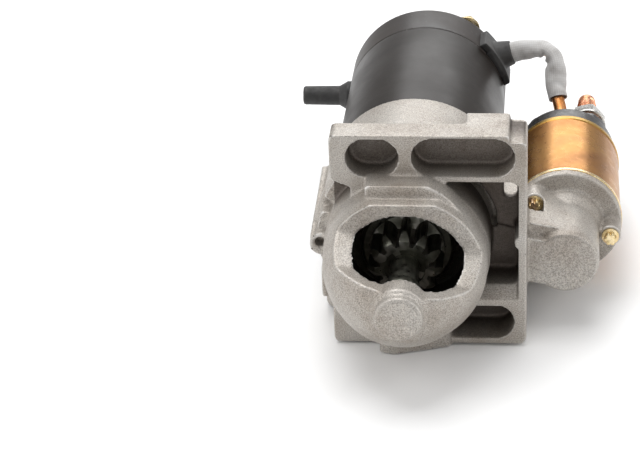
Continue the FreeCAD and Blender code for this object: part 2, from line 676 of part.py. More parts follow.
def lead_sleeve():
    """Woven sleeve over the braid, from the grommet to the end of the route's third bend."""
    edges = route_wire([Vector(*p) for p in LEAD_ROUTE]).OrderedEdges
    covered = Part.Wire([stretch(edges[1], 0.06, 1)] + edges[2:5] + [stretch(edges[5], 0, 0.85)])
    return swept(covered, SLEEVE_OUTER_R).cut(swept(covered, LEAD_R))


# ---------------------------------------------------------------- rotating parts

def armature_shaft():
    """Shaft with the sun gear cut on its front end and a pilot that runs in the output shaft."""
    pilot = cyl(PILOT_R, SHIELD_REAR + 0.4, GEAR_FRONT + 0.1)
    sun = toothed_prism(SUN_TEETH, straight_flank(SUN_TEETH), 0.0, GEAR_FRONT, GEAR_REAR + 0.5)
    body = cyl(ARMATURE_SHAFT_R, GEAR_REAR + 0.4, 158.5)
    journal = cyl(4.0, 158.4, 164.3)
    return joined([pilot, sun, body, journal])


def armature_core():
    core = tube(CORE_R, ARMATURE_SHAFT_R, CORE_START, CORE_END)
    slots = []
    for i in range(SLOT_COUNT):
        slots.append(at_angle(box(17.5, CORE_R + 1, CORE_START - 1, CORE_END + 1, -0.9, 0.9),
                              360.0 * i / SLOT_COUNT))
    return core.cut(slots)


def armature_winding():
    """End turns at both ends of the core."""
    front = turned([(9, CORE_START), (9, 71.5), (11, 69.8), (20.5, 69.8), (23.2, 72.5), (23.2, CORE_START)],
                   [0, 0, 0, 2, 2, 0])
    rear = turned([(10, CORE_END), (23.2, CORE_END), (23.2, 121.5), (19, 126), (10, 126)], [0, 0, 2, 2, 0])
    return group([front, rear])


def commutator():
    ring = tube(COMMUTATOR_R, ARMATURE_SHAFT_R, 127.0, 141.5)
    riser = tube(13.6, ARMATURE_SHAFT_R, 126.2, 128.2)
    gaps = []
    for i in range(SLOT_COUNT):
        gaps.append(at_angle(box(10.8, 14.5, 126, 142, -0.25, 0.25), 360.0 * i / SLOT_COUNT))
    return joined([ring, riser]).cut(gaps)


def output_shaft():
    shaft = turned([(0, -46.0), (SHAFT_R - 0.6, -46.0), (SHAFT_R, -45.4), (SHAFT_R, -33.4), (SHAFT_R - 0.6, -33.4),
                    (SHAFT_R - 0.6, -32.1), (SHAFT_R, -32.1), (SHAFT_R, CARRIER_REAR), (0, CARRIER_REAR)])
    return shaft.cut(cyl(PILOT_R + RUNNING_GAP, SHIELD_REAR - 0.2, CARRIER_REAR + 1))


def planet_centres():
    places, ring_phase = mesh_phases()
    return [(CENTRE_DISTANCE * math.cos(p), CENTRE_DISTANCE * math.sin(p), phase) for p, phase in places]


def planet_gear(x, z, phase):
    gear = toothed_prism(PLANET_TEETH, straight_flank(PLANET_TEETH), phase, GEAR_FRONT, GEAR_REAR)
    gear = gear.cut(cyl(2.5 + RUNNING_GAP, GEAR_FRONT - 1, GEAR_REAR + 1))
    gear.translate(Vector(x, 0, z))
    return gear


def ring_gear():
    """Internal gear with notches that let the through bolts pass."""
    ring_phase = mesh_phases()[1]
    inner = toothed_prism(RING_TEETH, straight_flank(RING_TEETH, inward=True), ring_phase,
                          GEAR_FRONT - 2, GEAR_REAR + 3)
    body = cyl(INSERT_R, GEAR_FRONT - 0.2, GEAR_REAR + 1.2)
    return body.cut([inner] + bolt_clearance(BOLT_R + 0.3, GEAR_FRONT - 1, GEAR_REAR + 2))


def plate_insert(y0, y1, bore):
    return tube(INSERT_R, bore, y0, y1).cut(bolt_clearance(BOLT_R + 0.3, y0 - 1, y1 + 1))


def pinion_gear():
    """Starter pinion with chamfered teeth, a rear flange and the clutch's inner race."""
    teeth = toothed_prism(PINION_TEETH, pinion_flank(), math.radians(90), PINION_FRONT, PINION_REAR)
    envelope = turned([(0, PINION_FRONT), (11.0, PINION_FRONT), (PINION_TIP_R, PINION_FRONT + 3.2),
                       (PINION_TIP_R, PINION_REAR), (0, PINION_REAR)])
    flange = cyl(PINION_TIP_R, PINION_REAR - 0.01, PINION_REAR + 1.3)
    race = cyl(9.0, PINION_REAR + 1.2, 19.5)
    bore = cyl(SHAFT_R + RUNNING_GAP, PINION_FRONT - 1, 21)
    relief = tube(7.6, SHAFT_R - 1, PINION_FRONT - 1, PINION_FRONT + 1.0)
    return joined([teeth.common(envelope), flange, race]).cut([bore, relief])


def clutch_shell():
    shell = turned([(9.35, CLUTCH_FRONT), (16.3, CLUTCH_FRONT), (CLUTCH_R, CLUTCH_FRONT + 1.2),
                    (CLUTCH_R, CLUTCH_REAR - 4), (14.0, CLUTCH_REAR), (SHAFT_R + RUNNING_GAP, CLUTCH_REAR),
                    (SHAFT_R + RUNNING_GAP, 20.0), (14.45, 20.0), (14.45, 9.0), (9.35, 9.0)],
                   [0, 0, 0, 1, 1, 0, 0, 0, 0, 0])
    return shell


def clutch_rollers():
    rollers = []
    for i in range(ROLLER_COUNT):
        x, z = polar(ROLLER_CIRCLE_R, 360.0 * i / ROLLER_COUNT)
        rollers.append(cyl(ROLLER_R, 9.3, 19.6, x, z))
    return group(rollers)


def drive_sleeve():
    bore = SHAFT_R + RUNNING_GAP
    return turned([(bore, CLUTCH_REAR), (SLEEVE_R - 1, CLUTCH_REAR), (SLEEVE_R - 1, GROOVE_Y - GROOVE_HALF - 2.6),
                   (SLEEVE_FLANGE_R, GROOVE_Y - GROOVE_HALF - 2.6), (SLEEVE_FLANGE_R, GROOVE_Y - GROOVE_HALF),
                   (SLEEVE_R, GROOVE_Y - GROOVE_HALF), (SLEEVE_R, GROOVE_Y + GROOVE_HALF),
                   (SLEEVE_FLANGE_R, GROOVE_Y + GROOVE_HALF), (SLEEVE_FLANGE_R, SLEEVE_REAR),
                   (bore, SLEEVE_REAR)])


# ---------------------------------------------------------------- shift lever and solenoid

def shift_lever():
    """Forked lever, built straight along X through its pivot and then tilted to its rest place."""
    ring = tube(FORK_OUTER_R, FORK_INNER_R, -3, 3).common(box(0, 30, -4, 4, -20, 20))
    parts = [ring]
    for side in (-1, 1):
        low, high = sorted((side * FORK_INNER_R, side * FORK_OUTER_R))
        parts.append(box(-3.0, 0.5, -3, 3, low, high))
        start = min(side * 10.5, side * (FORK_INNER_R + 1))
        parts.append(Part.makeCylinder(PAD_R, FORK_INNER_R - 9.5, Vector(0, 0, start), Vector(0, 0, 1)))
    parts.append(box(16.0, LEVER_PIVOT_X, -4, 4, -4, 4))
    parts.append(Part.makeCylinder(6.5, 8, Vector(LEVER_PIVOT_X, 0, -4), Vector(0, 0, 1)))
    tip = SOLENOID_OFFSET
    parts.append(box(LEVER_PIVOT_X, tip - 5, -3.5, 3.5, -2.2, 2.2))
    parts.append(box(tip - 8, tip + 3.4, -4.6, 4.6, -2.2, 2.2))
    slot = box(tip - 1.4, tip + 5, -2.3, 2.3, -3, 3)
    slot_end = Part.makeCylinder(2.3, 6, Vector(tip - 1.4, 0, -3), Vector(0, 0, 1))
    bore = Part.makeCylinder(3.0 + RUNNING_GAP, 12, Vector(LEVER_PIVOT_X, 0, -6), Vector(0, 0, 1))
    lever = joined(parts).cut([slot, slot_end, bore])
    lever.rotate(Vector(LEVER_PIVOT_X, 0, 0), Vector(0, 0, 1), -LEVER_TILT)
    lever.translate(Vector(0, LEVER_PIVOT_Y, 0))
    return in_lever_plane(lever)


def lever_seal():
    """Rubber block that closes the lever tunnel behind the pivot."""
    block = box(LEVER_PIVOT_X - 5.5, 41.5, 43.5, FLANGE_REAR, -5.9, 5.9)
    lip = box(35.2, 37.5, FLANGE_REAR, 56.0, -7.0, 7.0)
    return in_lever_plane(joined([block, lip]))


def plunger():
    """Iron plunger with a slotted stem and a cross bar that the lever hooks onto."""
    axis = SOLENOID_OFFSET
    body = cyl(PLUNGER_R, 36.0, PLUNGER_REAR, axis)
    stem = cyl(5.6, 22.0, 36.1, axis)
    slot = box(axis - 9, axis + 9, 20, 34.2, -2.7, 2.7)
    bar = Part.makeCylinder(2.0, 9.0, Vector(axis, HOOK_Y, -4.5), Vector(0, 0, 1))
    spring_bore = cyl(5.2, 60.0, PLUNGER_REAR + 1, axis)
    return in_lever_plane(joined([body.cut(spring_bore).fuse(stem).cut(slot), bar]))


def plunger_spring():
    return coil_along_y(4.2, 0.6, 60.1, CORE_FRONT - 0.1, 8, SOLENOID_X, SOLENOID_Z)


def at_solenoid(shape_maker, *sizes):
    return shape_maker(*sizes, SOLENOID_X, SOLENOID_Z)


def solenoid_front_plate():
    plate = at_solenoid(tube, 21.9, 9.3, FLANGE_REAR, FLANGE_REAR + 2.0)
    holes = []
    for x, z in solenoid_screw_places():
        holes.append(cyl(BOLT_R + 0.05, FLANGE_REAR - 1, FLANGE_REAR + 3, x, z))
    return plate.cut(holes)


def solenoid_case():
    front = FLANGE_REAR + 2.0
    return turned([(CASE_BORE, front), (CASE_R, front), (CASE_R, 97.4), (CASE_R + 0.25, 98.0),
                   (CASE_R + 0.25, CASE_REAR - 0.9), (CASE_R - 0.6, CASE_REAR), (CASE_BORE, CASE_REAR)],
                  x=SOLENOID_X, z=SOLENOID_Z)


def plunger_guide():
    return at_solenoid(tube, 9.2, PLUNGER_R + RUNNING_GAP, FLANGE_REAR, CORE_FRONT)


def coil_bobbin():
    spool = at_solenoid(tube, 10.2, 9.25, 53.0, 89.6)
    front = at_solenoid(tube, 19.7, 9.25, 53.0, 54.2)
    rear = at_solenoid(tube, 19.7, 9.25, 88.4, 89.6)
    return joined([spool, front, rear])


def solenoid_core():
    plug = at_solenoid(cyl, PLUNGER_R, CORE_FRONT, 97.0)
    disc = at_solenoid(cyl, CASE_BORE - 0.1, 90.0, 97.0)
    return joined([plug, disc]).cut(at_solenoid(cyl, 1.8 + RUNNING_GAP, CORE_FRONT - 1, 98.0))


def terminal_cap():
    """Moulded cap that carries the studs, with raised seats and a barrier between them."""
    body = turned([(0, 97.2), (CAP_R, 97.2), (CAP_R, CAP_REAR - 1.5), (CAP_R - 1.5, CAP_REAR), (0, CAP_REAR)],
                  [0, 0, 0.6, 0.6, 0], x=SOLENOID_X, z=SOLENOID_Z)
    places = [stud_place(1), stud_place(-1)]
    inside = [at_solenoid(cyl, 16.4, 96.0, CAP_REAR - 3.0)]
    inside += [cyl(6.15, 96.0, CAP_REAR - 3.0, x, z) for x, z in places]
    seats = [cyl(7.6, CAP_REAR - 1, CAP_REAR + SEAT_HEIGHT, x, z) for x, z in places]
    seats.append(cyl(4.6, CAP_REAR - 1, CAP_REAR + 1.2, *SWITCH_STUD))
    barrier = box(-14.0, 8.0, CAP_REAR - 1, CAP_REAR + 4.6, -1.2, 1.2)
    barrier.rotate(ORIGIN, Y_AXIS, 45)
    barrier.translate(Vector(SOLENOID_X - 2.2, 0, SOLENOID_Z - 2.2))
    pad = box(-6.0, 8.0, CAP_REAR - 1, CAP_REAR + 1.6, -3.4, 3.4)
    pad.rotate(ORIGIN, Y_AXIS, 40)
    pad.translate(Vector(SOLENOID_X + 2.0, 0, SOLENOID_Z - 8.0))
    boss = cyl(5.3, CAP_REAR - 1, CAP_REAR + 3.0, SOLENOID_X - 10.0, SOLENOID_Z + 9.0)
    holes = [cyl(STUD_R * THREAD_ROOT_SHARE, CAP_REAR - 5, CAP_REAR + 8, x, z) for x, z in places]
    holes.append(cyl(SWITCH_STUD_R * THREAD_ROOT_SHARE, CAP_REAR - 5, CAP_REAR + 4, *SWITCH_STUD))
    column = at_solenoid(cyl, CAP_R, CAP_REAR - 1, CAP_REAR + 8)
    raised = joined(seats + [barrier, pad, boss]).common(column)
    seat_tops = [cyl(9.3, CAP_REAR + SEAT_HEIGHT, CAP_REAR + 8, x, z) for x, z in places]
    seat_tops.append(cyl(5.0, CAP_REAR + 1.2, CAP_REAR + 8, *SWITCH_STUD))
    return joined([body.cut(inside), raised]).cut(holes + seat_tops)


def terminal_stud(x, z, radius, head_r, head_front, nut_top, tip):
    """Stud with a head inside the cap and a necked tip; inside its nut it has its thread's root size."""
    head = cyl(head_r, head_front, CAP_REAR - 3.0, x, z)
    inner_r = radius * THREAD_ROOT_SHARE
    shank = turned([(0, CAP_REAR - 3.1), (inner_r, CAP_REAR - 3.1), (inner_r, nut_top + 0.3),
                    (radius, nut_top + 0.3), (radius, tip - 1.6 * radius),
                    (radius * 0.78, tip - 1.4 * radius), (radius * 0.78, tip - 1.15 * radius),
                    (radius * 0.92, tip - 0.95 * radius), (radius * 0.92, tip - 0.4 * radius),
                    (radius * 0.5, tip), (0, tip)],
                   [0, 0, 0, 0, 0, 0, 0, 0, radius * 0.2, 0.2, 0], x=x, z=z)
    return joined([head, shank])


def terminal_nuts():
    """Hexagon nuts with washers on the two large studs."""
    nuts = []
    for side, washer_r, lift, turn in ((1, 7.6, MOTOR_NUT_LIFT, 12), (-1, 9.0, BATTERY_NUT_LIFT, 40)):
        x, z = stud_place(side)
        start = CAP_REAR + SEAT_HEIGHT + lift
        top = start + NUT_HEIGHT
        washer = cyl(washer_r, start, start + 1.4, x, z)
        nut = hexagon(NUT_AF, start + 1.4, top, x, z, turn)
        crown = turned([(0, start + 1), (9.0, start + 1), (9.0, top - 1.8), (6.2, top), (0, top)], x=x, z=z)
        bore = cyl(STUD_R * THREAD_ROOT_SHARE, start - 2, top + 2, x, z)
        nuts.append(joined([washer, nut.common(crown)]).cut(bore))
    return group(nuts)


def switch_nut():
    x, z = SWITCH_STUD
    start = CAP_REAR + 1.2
    nut = joined([hexagon(8.0, start, start + 4.2, x, z, 20), hexagon(8.0, start + 4.2, start + 8.4, x, z, 45)])
    return nut.cut(cyl(SWITCH_STUD_R * THREAD_ROOT_SHARE, start - 1, start + 10, x, z))


# ---------------------------------------------------------------- fasteners

def flange_bolt(x, z, front, seat, radius, across_flats, flange_r, height):
    shank = cyl(radius, front, seat + 0.1, x, z)
    flange = turned([(0, seat), (flange_r, seat), (flange_r, seat + 0.8), (across_flats * 0.55, seat + 1.6),
                     (0, seat + 1.6)], x=x, z=z)
    head = hexagon(across_flats, seat + 1, seat + height, x, z, 10)
    crown = turned([(0, seat), (across_flats, seat), (across_flats, seat + height - 2.2),
                    (across_flats * 0.46, seat + height), (0, seat + height)], x=x, z=z)
    return joined([shank, flange, head.common(crown)])


def through_bolts():
    return group([flange_bolt(x, z, BOLT_FRONT, CAP_LEDGE, BOLT_R, BOLT_AF, 5.5, 5.2) for x, z in BOLT_PLACES])


def lobed_head(x, z, y0, y1, lobe_circle_r, lobe_r):
    """Six-lobed screw head as one solid."""
    lobes = [cyl(lobe_circle_r, y0, y1, x, z)]
    for i in range(6):
        lobe_x, lobe_z = polar(lobe_circle_r, 60.0 * i, x, z)
        lobes.append(cyl(lobe_r, y0, y1, lobe_x, lobe_z))
    return joined(lobes)


def brush_plate_screw(x, z):
    """Screw with a six-lobed head on a round flange."""
    shank = cyl(PLATE_SCREW_R, BRUSH_PLATE_FRONT, CAP_LEDGE + 0.1, x, z)
    flange = cyl(4.3, CAP_LEDGE, CAP_LEDGE + 1.0, x, z)
    return joined([shank, flange, lobed_head(x, z, CAP_LEDGE + 0.9, CAP_LEDGE + 4.2, 2.1, 0.9)])


def solenoid_screws():
    """Screws whose flanged heads sit on the front of the snout's bosses."""
    seat = SOLENOID_SCREW_SEAT
    screws = []
    for x, z in solenoid_screw_places():
        shank = cyl(BOLT_R, seat - 0.1, FLANGE_REAR + 1.9, x, z)
        flange = cyl(3.3, seat - 0.8, seat, x, z)
        screws.append(joined([shank, flange, lobed_head(x, z, seat - 3.6, seat - 0.7, 1.6, 0.75)]))
    return group(screws)


# ---------------------------------------------------------------- parts

def all_parts():
    motor_x, motor_z = stud_place(1)
    battery_x, battery_z = stud_place(-1)
    nuts_seat = CAP_REAR + SEAT_HEIGHT + NUT_HEIGHT
    parts = {
        "drive_end_housing": drive_end_housing(),
        "nose_bushing": tube(7.2, SHAFT_R + RUNNING_GAP, -47.0, -37.0),
        "center_shield": plate_insert(SHIELD_FRONT, SHIELD_REAR, 8.0),
        "center_bushing": tube(8.0, SHAFT_R + RUNNING_GAP, SHIELD_FRONT, SHIELD_REAR),
        "ring_gear": ring_gear(),
        "gear_cover": plate_insert(66.0, 67.2, 7.0),
        "field_frame": field_frame(),
        "field_magnets": field_magnets(),
        "rear_cover": rear_cover(),
        "rear_bushing": tube(7.0, 4.0 + RUNNING_GAP, PLATEAU_REAR - 4, HUB_REAR - 3.4),
        "brush_plate": brush_plate(),
        "brush_holders": brush_holders(),
        "brush_springs": brush_springs(),
        "through_bolts": through_bolts(),
        "brush_plate_screws": group([brush_plate_screw(x, z) for x, z in PLATE_SCREW_PLACES]),
        "vent_tube": vent_tube(),
        "lead_grommet": lead_grommet(),
        "motor_lead": motor_lead(),
        "lead_sleeve": lead_sleeve(),
        "lever_seal": lever_seal(),
        "lever_pivot_pin": in_lever_plane(pivot_cylinder()),
        "shift_lever": shift_lever(),
        "plunger": plunger(),
        "plunger_spring": plunger_spring(),
        "solenoid_front_plate": solenoid_front_plate(),
        "solenoid_case": solenoid_case(),
        "plunger_guide": plunger_guide(),
        "coil_bobbin": coil_bobbin(),
        "solenoid_winding": at_solenoid(tube, 18.5, 10.25, 54.4, 88.2),
        "solenoid_core": solenoid_core(),
        "terminal_cap": terminal_cap(),
        "contact_rod": at_solenoid(cyl, 1.8, 69.3, DISC_FRONT + DISC_THICKNESS + 1.2),
        "contact_disc": at_solenoid(tube, 9.0, 1.8, DISC_FRONT, DISC_FRONT + DISC_THICKNESS),
        "contact_spring": coil_along_y(3.4, 0.5, 97.1, DISC_FRONT - 0.1, 3, SOLENOID_X, SOLENOID_Z),
        "motor_stud": terminal_stud(motor_x, motor_z, STUD_R, 6.0, STUD_HEAD_FRONT,
                                    nuts_seat + MOTOR_NUT_LIFT, STUD_TIP),
        "battery_stud": terminal_stud(battery_x, battery_z, STUD_R, 6.0, STUD_HEAD_FRONT,
                                      nuts_seat + BATTERY_NUT_LIFT, STUD_TIP),
        "switch_stud": terminal_stud(*SWITCH_STUD, SWITCH_STUD_R, 3.4, STUD_HEAD_FRONT + 0.4,
                                     CAP_REAR + 9.6, SWITCH_STUD_TIP),
        "terminal_nuts": terminal_nuts(),
        "switch_nut": switch_nut(),
        "solenoid_screws": solenoid_screws(),
        "armature_shaft": armature_shaft(),
        "armature_core": armature_core(),
        "armature_winding": armature_winding(),
        "commutator": commutator(),
        "output_shaft": output_shaft(),
        "planet_carrier": tube(20.5, SHAFT_R, CARRIER_FRONT, CARRIER_REAR),
        "stop_collar": tube(7.4, SHAFT_R, -32.0, -28.0),
        "snap_ring": tube(6.6, SHAFT_R - 0.6, -33.3, -32.2),
        "clutch_shell": clutch_shell(),
        "clutch_rollers": clutch_rollers(),
        "drive_sleeve": drive_sleeve(),
        "pinion_gear": pinion_gear(),
    }
    pins = []
    for number, (x, z, phase) in enumerate(planet_centres(), start=1):
        parts["planet_gear_%d" % number] = planet_gear(x, z, phase)
        pins.append(cyl(2.5, CARRIER_FRONT, GEAR_REAR + 0.6, x, z))
    parts["planet_pins"] = group(pins)
    parts["planet_carrier"] = parts["planet_carrier"].cut(pins)
    for number, angle in enumerate(BRUSH_ANGLES, start=1):
        parts["brush_%d" % number] = brush(angle)
    return parts


def main():
    os.makedirs("parts", exist_ok=True)
    for node, shape in all_parts().items():
        if not shape.isValid():
            print("invalid shape:", node)
        shape.exportStep("parts/%s.step" % node)
        print(node, len(shape.Solids), "solids", round(shape.Volume), "mm3")


main()
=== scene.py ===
"""Looks of the starter motor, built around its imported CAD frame.

Sizes of the object are in millimetres; the camera, lights and floor size are in metres.
"""

import json
import math

import bmesh
import bpy
from mathutils import Matrix, Vector, noise


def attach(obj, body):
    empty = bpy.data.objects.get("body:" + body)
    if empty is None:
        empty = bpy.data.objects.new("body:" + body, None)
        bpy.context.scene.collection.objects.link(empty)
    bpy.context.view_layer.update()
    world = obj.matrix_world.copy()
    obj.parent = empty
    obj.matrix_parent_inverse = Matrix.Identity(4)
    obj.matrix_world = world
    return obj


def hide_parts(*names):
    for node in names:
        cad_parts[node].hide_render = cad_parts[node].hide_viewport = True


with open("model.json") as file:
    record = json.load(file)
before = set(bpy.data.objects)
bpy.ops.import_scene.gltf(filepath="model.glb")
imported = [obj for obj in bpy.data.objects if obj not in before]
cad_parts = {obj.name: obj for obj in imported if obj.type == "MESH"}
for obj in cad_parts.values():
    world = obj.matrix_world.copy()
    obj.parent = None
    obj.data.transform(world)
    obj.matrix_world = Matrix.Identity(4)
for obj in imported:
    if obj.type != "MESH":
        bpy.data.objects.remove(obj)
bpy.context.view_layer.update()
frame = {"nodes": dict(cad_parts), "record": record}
BODY_OF = {node: body for body, nodes in frame["record"]["behaviour"]["bodies"].items() for node in nodes}
MM = 0.001

# Camera: the photograph's view of the nose end
CAMERA_AZIMUTH = 6.76
CAMERA_ELEVATION = 27.74
CAMERA_ROLL = -2.56
CAMERA_DISTANCE = 0.8254
CAMERA_RIGHT = -0.0320
CAMERA_UP = 0.00996
SENSOR_WIDTH = 36.0
LENS = 125.4

# Turned parts, as in the CAD
CAN_R = 33.0
CAN_BORE = 30.4
CAN_FRONT = 58.0
CAN_REAR = 138.5
SEAM = 0.25
SOLENOID = (58.7, -10.8)
CASE_R = 21.3
CASE_BORE = 20.0
CASE_FRONT = 52.5
CASE_REAR = 101.1
BAND_FRONT = 97.6
STUD_CIRCLE_R = 12.7
STUD_ANGLE = 46.5
SWITCH_STUD = (68.3, -19.4)
THREAD_START = 107.6
STUD_R = 4.0
STUD_PITCH = 1.25
STUD_TIP = 142.0
SWITCH_STUD_R = 2.5
SWITCH_STUD_PITCH = 0.8
SWITCH_THREAD_START = 107.8
SWITCH_STUD_TIP = 130.0
FLOOR_Z = -38.4
FLOOR_HALF = 3.0

# The lead's route, as in the CAD
LEAD_ROUTE = (
    (29.0, 146.0, 16.6),
    (41.5, 146.0, 20.6),
    (54.0, 143.5, 21.0),
    (54.4, 136.5, 6.0),
    (57.0, 127.0, -1.5),
    (57.6, 117.5, -7.0),
)
SLEEVE_START_SHARE = 0.115
SLEEVE_END_SHARE = 0.70
SLEEVE_R = 4.05
SLEEVE_THICKNESS = 0.5


# ---------------------------------------------------------------- camera, light and floor

def make_camera():
    azimuth = math.radians(CAMERA_AZIMUTH)
    elevation = math.radians(CAMERA_ELEVATION)
    back = Vector((math.sin(azimuth) * math.cos(elevation), -math.cos(azimuth) * math.cos(elevation),
                   math.sin(elevation)))
    right = Vector((0, 0, 1)).cross(back).normalized()
    up = back.cross(right)
    roll = math.radians(CAMERA_ROLL)
    rolled_right = right * math.cos(roll) + up * math.sin(roll)
    rolled_up = up * math.cos(roll) - right * math.sin(roll)
    camera = bpy.data.objects.new("camera", bpy.data.cameras.new("camera"))
    bpy.context.scene.collection.objects.link(camera)
    camera.data.sensor_width = SENSOR_WIDTH
    camera.data.lens = LENS
    camera.data.clip_start = 0.02
    camera.data.clip_end = 20.0
    place = back * CAMERA_DISTANCE + rolled_right * CAMERA_RIGHT + rolled_up * CAMERA_UP
    turn = Matrix((rolled_right, rolled_up, back)).transposed().to_4x4()
    camera.matrix_world = Matrix.Translation(place) @ turn
    bpy.context.scene.camera = camera


def area_light(name, place, target, size, power, colour=(1.0, 1.0, 1.0)):
    data = bpy.data.lights.new(name, "AREA")
    data.shape = "RECTANGLE"
    data.size, data.size_y = size
    data.energy = power
    data.color = colour
    light = bpy.data.objects.new(name, data)
    bpy.context.scene.collection.objects.link(light)
    light.location = place
    light.rotation_mode = "QUATERNION"
    light.rotation_quaternion = (Vector(target) - Vector(place)).to_track_quat("-Z", "Y")
    return light


def make_lights():
    centre = (0.02, 0.06, 0.0)
    area_light("top_softbox", (-0.15, 0.25, 1.1), centre, (0.9, 0.9), 10.0)
    area_light("left_softbox", (-1.0, -0.5, 0.55), centre, (0.5, 1.1), 4.5)
    area_light("right_softbox", (1.05, 0.1, 0.5), centre, (0.4, 1.0), 4.0)
    area_light("rear_softbox", (0.1, 1.3, 0.7), centre, (0.9, 0.6), 5.0)
    area_light("front_fill", (0.25, -1.3, 0.35), centre, (0.8, 0.5), 1.4)
    world = bpy.data.worlds.new("studio")
    world.use_nodes = True
    background = world.node_tree.nodes["Background"]
    background.inputs["Color"].default_value = (1.0, 1.0, 1.0, 1.0)
    background.inputs["Strength"].default_value = 0.50
    bpy.context.scene.world = world


def make_floor():
    mesh = bpy.data.meshes.new("floor")
    z = FLOOR_Z * MM
    corners = [(x * FLOOR_HALF, y * FLOOR_HALF, z) for x, y in ((-1, -1), (1, -1), (1, 1), (-1, 1))]
    mesh.from_pydata(corners, [], [(0, 1, 2, 3)])
    floor = bpy.data.objects.new("floor", mesh)
    bpy.context.scene.collection.objects.link(floor)
    paint = Paint("floor_white", (0.92, 0.92, 0.92), roughness=0.9)
    tone = paint.ramp(paint.noise(3.0, 2.0), [(0.0, (0.90, 0.90, 0.90)), (1.0, (0.94, 0.94, 0.94))])
    paint.link(tone, "Base Color")
    mesh.materials.append(paint.material)


# ---------------------------------------------------------------- material building

class Paint:
    """A material with a principled shader and short ways to add texture nodes to it."""

    def __init__(self, name, colour, metallic=0.0, roughness=0.5, coat=0.0, coat_roughness=0.1, sheen=0.0):
        self.material = bpy.data.materials.new(name)
        self.material.use_nodes = True
        self.tree = self.material.node_tree
        self.shader = self.tree.nodes["Principled BSDF"]
        self.set("Base Color", (*colour, 1.0))
        self.set("Metallic", metallic)
        self.set("Roughness", roughness)
        if coat:
            self.set("Coat Weight", coat)
            self.set("Coat Roughness", coat_roughness)
        if sheen:
            self.set("Sheen Weight", sheen)
        self.place = self.tree.nodes.new("ShaderNodeTexCoord").outputs["Object"]

    def set(self, socket, value):
        self.shader.inputs[socket].default_value = value

    def link(self, output, socket):
        self.tree.links.new(output, self.shader.inputs[socket])

    def feed(self, node, socket, value):
        if isinstance(value, bpy.types.NodeSocket):
            self.tree.links.new(value, node.inputs[socket])
        else:
            node.inputs[socket].default_value = value

    def stretched(self, x, y, z):
        """Object coordinates, each axis scaled on its own."""
        node = self.tree.nodes.new("ShaderNodeMapping")
        self.feed(node, "Vector", self.place)
        node.inputs["Scale"].default_value = (x, y, z)
        return node.outputs["Vector"]

    def noise(self, scale, detail=3.0, rough=0.55, where=None, distortion=0.0):
        node = self.tree.nodes.new("ShaderNodeTexNoise")
        self.feed(node, "Vector", where or self.place)
        node.inputs["Scale"].default_value = scale
        node.inputs["Detail"].default_value = detail
        node.inputs["Roughness"].default_value = rough
        node.inputs["Distortion"].default_value = distortion
        return node.outputs["Fac"]

    def ramp(self, value, stops):
        node = self.tree.nodes.new("ShaderNodeValToRGB")
        self.feed(node, "Fac", value)
        elements = node.color_ramp.elements
        while len(elements) < len(stops):
            elements.new(0.5)
        for element, (place, colour) in zip(elements, stops):
            element.position = place
            shade = colour if isinstance(colour, tuple) else (colour, colour, colour)
            element.color = (*shade, 1.0)
        return node.outputs["Color"]

    def mix(self, share, first, second, blend="MIX"):
        node = self.tree.nodes.new("ShaderNodeMix")
        node.data_type = "RGBA"
        node.blend_type = blend
        self.feed(node, 0, share)
        for index, value in ((6, first), (7, second)):
            if isinstance(value, tuple):
                value = (*value, 1.0)
            self.feed(node, index, value)
        return node.outputs[2]

    def maths(self, operation, first, second=0.0, clamp=False):
        node = self.tree.nodes.new("ShaderNodeMath")
        node.operation = operation
        node.use_clamp = clamp
        self.feed(node, 0, first)
        self.feed(node, 1, second)
        return node.outputs["Value"]

    def axis(self, letter, where=None):
        node = self.tree.nodes.new("ShaderNodeSeparateXYZ")
        self.feed(node, "Vector", where or self.place)
        return node.outputs[letter]

    def span(self, value, low, high):
        """0 below low, 1 above high, with a smooth change between them."""
        node = self.tree.nodes.new("ShaderNodeMapRange")
        node.interpolation_type = "SMOOTHSTEP"
        self.feed(node, "Value", value)
        node.inputs["From Min"].default_value = low
        node.inputs["From Max"].default_value = high
        return node.outputs["Result"]

    def edges(self, low, high):
        """1 on convex edges, 0 on flats."""
        node = self.tree.nodes.new("ShaderNodeNewGeometry")
        return self.span(node.outputs["Pointiness"], low, high)

    def bump(self, height, depth_mm, strength=1.0, onto=None):
        node = self.tree.nodes.new("ShaderNodeBump")
        node.inputs["Strength"].default_value = strength
        node.inputs["Distance"].default_value = depth_mm * MM
        self.feed(node, "Height", height)
        if onto is not None:
            self.tree.links.new(onto, node.inputs["Normal"])
        return node.outputs["Normal"]


